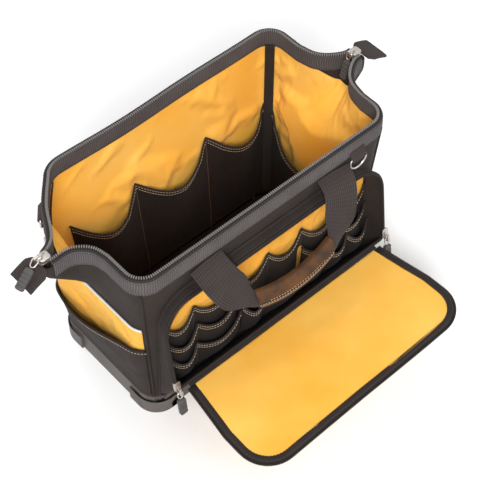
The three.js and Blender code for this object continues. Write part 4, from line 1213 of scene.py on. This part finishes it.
organiser = {
    "foot": 53.5, "half": pocket["backHalf"] - pocket["cloth"] - 3, "inside": 54.3, "middle": 54, "rows": 26,
    "thick": 1.5, "out": 3.2, "step": 1.9, "behind": (0, 5, 11), "rise": 50, "seamsBelow": (2.6, 7.2),
    "rough": (0.5, 20.0), "seed": 2.0, "binding": oval(3.2, 2.8, 8), "lift": 0.4,
}
half, inside, middle = organiser["half"], organiser["inside"], organiser["middle"]
# node, layer from the back, ends, seams, edge's peak and dip, bulge and columns
organisers = [
    ("back", 0, -half, half, [0, 0.14, 0.33, 0.5, 0.67, 0.86, 1], 200, 26, 5, 132),
    ("mid_left", 1, -half, -inside, [0, 0.42, 1], 168, 22, 7, 54),
    ("mid_right", 1, inside, half, [0, 0.5, 1], 168, 22, 7, 54),
    ("front_left", 2, -half, -inside, [0, 0.35, 1], 140, 18, 8, 54),
    ("front_middle", 2, -middle, middle, [0, 0.36, 1], 152, 24, 9, 54),
    ("front_right", 2, inside, half, [0, 0.33, 0.66, 1], 140, 18, 8, 54),
]
for node, layer, x0, x1, seamsAt, peak, dip, bulge, count in organisers:
    def organiserAt(u, v):
        swell = scallop(u, seamsAt) ** 0.8
        z = mixed(organiser["foot"], peak - dip * swell, v)
        out = (organiser["behind"][layer] + bulge * swell) * ease((z - organiser["foot"]) / organiser["rise"])
        return mixed(x0, x1, u), frontFace(z) - (organiser["out"] + layer * organiser["step"] + out), z

    name = "organiser" + node.title().replace("_", "")
    grid = lattice(organiserAt, shares(count), shares(organiser["rows"]))
    grid = raised(grid, forward, roughen(grid, *organiser["rough"], organiser["seed"] + layer))
    clothPiece(name, grid, organiser["thick"], forward, "organiser", ["organiser_" + node])
    edgeBinding(name + "Binding", grid, forward, organiser["binding"])
    stitchedEdge(grid, forward, organiser["seamsBelow"])
    up = normalsOf(grid, forward)
    for u in seamsAt[1:-1]:
        k = round(u * (count - 1))
        sew("greyThread", "bag", grid[:, k] + up[:, k] * organiser["lift"], up[:, k])
print("front pocket done")


# Flap

flap = {
    "length": 150, "half": 175, "corner": 43, "hingeTaper": 11, "taperLength": 80, "binding": 10, "tuck": 5,
    "z": 106.5, "y": -144.4, "swell": 2.0, "lift": 7.0, "droop": 8.5, "threadClear": 9.0, "thick": 2.4,
    "top": 1.3,
}


def flapOutline(grow):
    half, r, far = flap["half"] - grow, flap["corner"] - grow, flap["length"] - grow
    right = [(mixed(half - flap["hingeTaper"], half, k / 6), mixed(-1.0, -flap["taperLength"], k / 6))
             for k in range(6)]
    right += [(half, y) for y in np.linspace(-flap["taperLength"], -far + r, 8)[:-1]]
    right += [(half - r + r * c, -far + r - r * s) for c, s in turnOf(0, math.pi / 2, 10)]
    right += [(x, -far) for x in np.linspace(half - r, 0, 14)[1:]]
    return np.array(right + [(-x, y) for x, y in right[-2::-1]])


def flapRaised(grid):
    # the sheet swells a little, hangs on its far left and turns up at its far right
    for p in grid.reshape(-1, 3):
        u, v = p[0] / flap["half"], clamp((flap["y"] - p[1]) / flap["length"])
        swell = flap["swell"] * math.cos(u * 1.4) * math.sin(math.pi * v)
        p[2] += swell + v ** 1.6 * (flap["lift"] * clamp(u) ** 2 - flap["droop"] * clamp(-u) ** 1.2)
    return grid


def onFlap(xy, z):
    return flapRaised(np.column_stack([xy[:, 0], xy[:, 1] + flap["y"], np.full(len(xy), z + flap["z"])]))


def flapPanel():
    inset = flap["binding"] - flap["tuck"]
    edge = flapOutline(inset)
    edge = edge[:len(edge) // 2 + 1]

    def at(u, v):
        y = mixed(-0.2, -flap["length"] + inset, v)
        return np.interp(-y, -edge[:, 1], edge[:, 0]) * u, y + flap["y"], flap["z"] + flap["top"]

    grid = lattice(at, evenly(1, 96), shares(54))
    grid = flapRaised(settle(grid, upward, excess=0.035, low=-0.4, high=5.5, hold=0.01, seed=15.0))
    clothPiece("flapPanel", grid, flap["thick"], upward, "yellow", ["flap_panel"], "flap")


# a band's section: share of the way inward, share of its height
bandSection = [(0.0, 0.5), (0.04, 0.85), (0.14, 1.0), (0.5, 0.92), (0.86, 0.8), (0.97, 0.6),
               (1.0, 0.4), (0.9, 0.15), (0.5, 0.04), (0.14, 0.0), (0.04, 0.15)]


def flapBand(name, out, inside, low, high, look, nodes=()):
    a, b = flapOutline(out), flapOutline(inside)
    grid = np.stack([onFlap(mixed(a, b, p), mixed(low, high, q)) for p, q in bandSection], 1)
    obj = fromGrid(name, grid, around=True, caps=True)
    middle = flap["z"] * milli
    turnIf(obj, sum((f.center.z - middle) * f.normal.z * f.area for f in obj.data.polygons))
    place(obj, look, "flap", nodes, "outer_fabric")


flapPanel()
flapBand("flapBinding", 0, flap["binding"], -2.2, 2.5, "binding", ["flap_binding"])
flapBand("flapZipTape", -2.6, 1.5, -1.1, 0.3, "zipTape")
line = onFlap(flapOutline(-0.3 - pocket["chain"] / 2), 0)
setOut("flapZipTeeth", [(line, upward, False)], smallTooth, pocket["pitch"], "darkTeeth", "flap",
       ["flap_zip_chain"])
for grow, height in ((flap["binding"] - 1.6, 2.5), (2.2, 2.7)):
    line = onFlap(flapOutline(grow), height)
    sew("greyThread", "flap", line[line[:, 1] < flap["y"] - flap["threadClear"]], upward)

strip = {"half": 162, "outer": -144.5, "inner": -137.5, "low": 107.6, "rise": 0.3, "thick": 2.0}
grid = lattice(lambda x, v: (x, mixed(strip["outer"], strip["inner"], v), strip["low"] + strip["rise"] * v),
               evenly(strip["half"], 60), shares(5))
clothPiece("flapHingeStrip", grid, strip["thick"], upward, "black", ["flap_hinge_strip"])
print("flap done")


# Handles

handle = {
    "width": 50, "folded": 19, "gather": 9, "thick": 2.6, "cloth": 2.4, "grip": 124, "gripHeight": 28,
    "gripThick": 14, "gripDrop": 96, "gripBow": 11, "join": 5, "section": 22, "strapEnd": 0.36,
    "gatherFrom": 3, "gatherRun": 24, "bend": 2.0, "leastBend": 0.05,
    "side": [(0, 0), (14.5, -9), (27, -26), (39, -52), (50, -76), (59, -97), (66, -116)],
    "route": [(-103, 0), (-100, 24), (-90, 50), (-75, 72), (-62, 85), (-40, 92), (0, 96),
              (40, 92), (62, 85), (75, 72), (90, 50), (100, 24), (103, 0)],
    "root": bandFoot - 3,
}
sidePath = smoothPath(handle["side"])
sideLength = float(np.linalg.norm(np.diff(sidePath[0], axis=0), axis=1).sum())


def handlePlace(sy, rootY):
    def at(x, d, n):
        u = clamp(d / sideLength)
        p = along(sidePath, u)
        q = along(sidePath, min(1, u + 0.01)) - along(sidePath, max(0, u - 0.01))
        q /= np.linalg.norm(q)
        return np.array((x, rootY + sy * (p[0] - q[1] * n), handle["root"] + p[1] + q[0] * n))
    return at


def handleStrap(label, at, sy):
    # the webbing is gathered lengthways before it enters the grip: its edges turn to the back
    route = smoothPath(handle["route"])
    for tag, sign in (("Left", 1), ("Right", -1)):
        def strapAt(w, u):
            p = along(route, u)
            q = along(route, u + 0.006) - along(route, max(0.0, u - 0.006))
            q /= np.linalg.norm(q)
            spread = ease((abs(p[0]) - handle["grip"] / 2 - handle["gatherFrom"]) / handle["gatherRun"])
            width = mixed(handle["folded"], handle["width"], spread)
            lost = 1 - width / handle["width"]
            bend = handle["bend"] * lost ** 0.5 + handle["leastBend"]
            depth = handle["gather"] * lost
            offset = width / 2 * math.sin(bend * w) / math.sin(min(bend, 1.57))
            offset = clamp(offset, -width / 2, width / 2)
            back = depth * (1 - math.cos(bend * w)) / (1 - math.cos(bend))
            return at(sign * (p[0] + q[1] * offset), max(0.0, p[1] - q[0] * offset), 1.2 + depth * 0.5 - back)

        grid = lattice(strapAt, evenly(1, 25), np.linspace(0.0, handle["strapEnd"], 52))
        clothPiece(label + tag + "Strap", grid, handle["cloth"], (0, sy, 0.2), "webbing",
                   [label + "_handle_strap"], label + "_handle")


def gripMiddle(x):
    return handle["gripDrop"] - handle["gripBow"] * (x / (handle["grip"] / 2)) ** 2


def rounded(t):
    return math.copysign(abs(t) ** 0.75, t)


def handleGrip(label, at):
    # leather wrapped round the webbing and sewn together, with a dark flange below the seam
    body, reach = label + "_handle", handle["grip"] / 2
    half, join = handle["gripHeight"] / 2, handle["join"]
    for name, low, high, thick, look, slotName in (
            ("Grip", -half, join, handle["gripThick"] / 2, "leather", "leather"),
            ("GripFlange", join - 2, half, handle["cloth"], "binding", "webbing")):
        def gripAt(k, x):
            a = 2 * math.pi * k / handle["section"]
            up = (low + high) / 2 + (high - low) / 2 * rounded(math.cos(a))
            return at(x, gripMiddle(x) + up, thick * rounded(math.sin(a)))

        grid = lattice(gripAt, range(handle["section"]), evenly(reach, 44))
        obj = fromGrid(label + name, grid, around=True, caps=True)
        middle = Vector(grid.mean((0, 1)) * milli)
        turnIf(obj, sum(f.normal.dot(f.center - middle) for f in obj.data.polygons))
        place(obj, look, body, [label + "_handle_grip"], slotName)
    xs = evenly(reach - 1.5, 60)

    def level(off, n):
        return np.array([at(x, gripMiddle(x) + off, n) for x in xs])

    for face, tag in ((1, "Outer"), (-1, "Inner")):
        for off in (join + 0.6, join + 3.4):
            sew("cream", body, level(off, face * 2.6), level(off, face * 9) - level(off, face * 2.6))
        # a thin orange strip below the stitches: the leather's raw edge, coloured bright as a painted
        # highlight
        edge = level(join + 5.2, face * 2.2)
        sweep(label + tag + "GripEdge", edge, level(join + 5.2, face * 9) - edge, oval(1.5, 1.2, 6),
              "leatherEdgeAndHighlight", body)


for label, sy in sides.items():
    wallY = sideAt(sy, 0, handle["root"], wallIn)[1]
    at = handlePlace(sy, wallY + sy * (handle["thick"] / 3 + seam))
    handleStrap(label, at, sy)
    handleGrip(label, at)
print("handles done")


# D-rings

for label in ("front", "end"):
    copied(label + "_d_ring", label + "Ring", 0, "metal", label + "_ring", smooth=1)
    copied(label + "_ring_loop", label + "RingLoop", 0.4, "webbing", "bag")
print("rings done")


# Sewing

for (thread, body), lines in seams.items():
    slotName = "outer_fabric" if body in ("bag", "flap") else "leather"
    setOut(thread + body.title().replace("_", "") + "Stitches", lines, stitch, stitchPitch, thread, body,
           slotName=slotName)
for shape in (stitch, tooth, smallTooth):
    bpy.data.objects.remove(shape)
print("sewing done")


# Stage

floor = {"half": 6, "z": -0.0005, "white": (0.94, 0.94, 0.94, 1)}


def addFloor():
    mesh = bpy.data.meshes.new("floor")
    corners = [(x * floor["half"], y * floor["half"], 0) for x, y in ((-1, -1), (1, -1), (1, 1), (-1, 1))]
    mesh.from_pydata(corners, [], [(0, 1, 2, 3)])
    obj = linked("floor", mesh)
    material, tree, shader = newMaterial("floor")
    wire(tree, shader, {"Base Color": floor["white"], "Roughness": 0.9, "Specular IOR Level": 0.0})
    mesh.materials.append(material)
    obj.location.z = floor["z"]


addCamera()
addLamps()
addWorld()
addFloor()
scene.view_settings.view_transform = "Standard"
print("stage done")
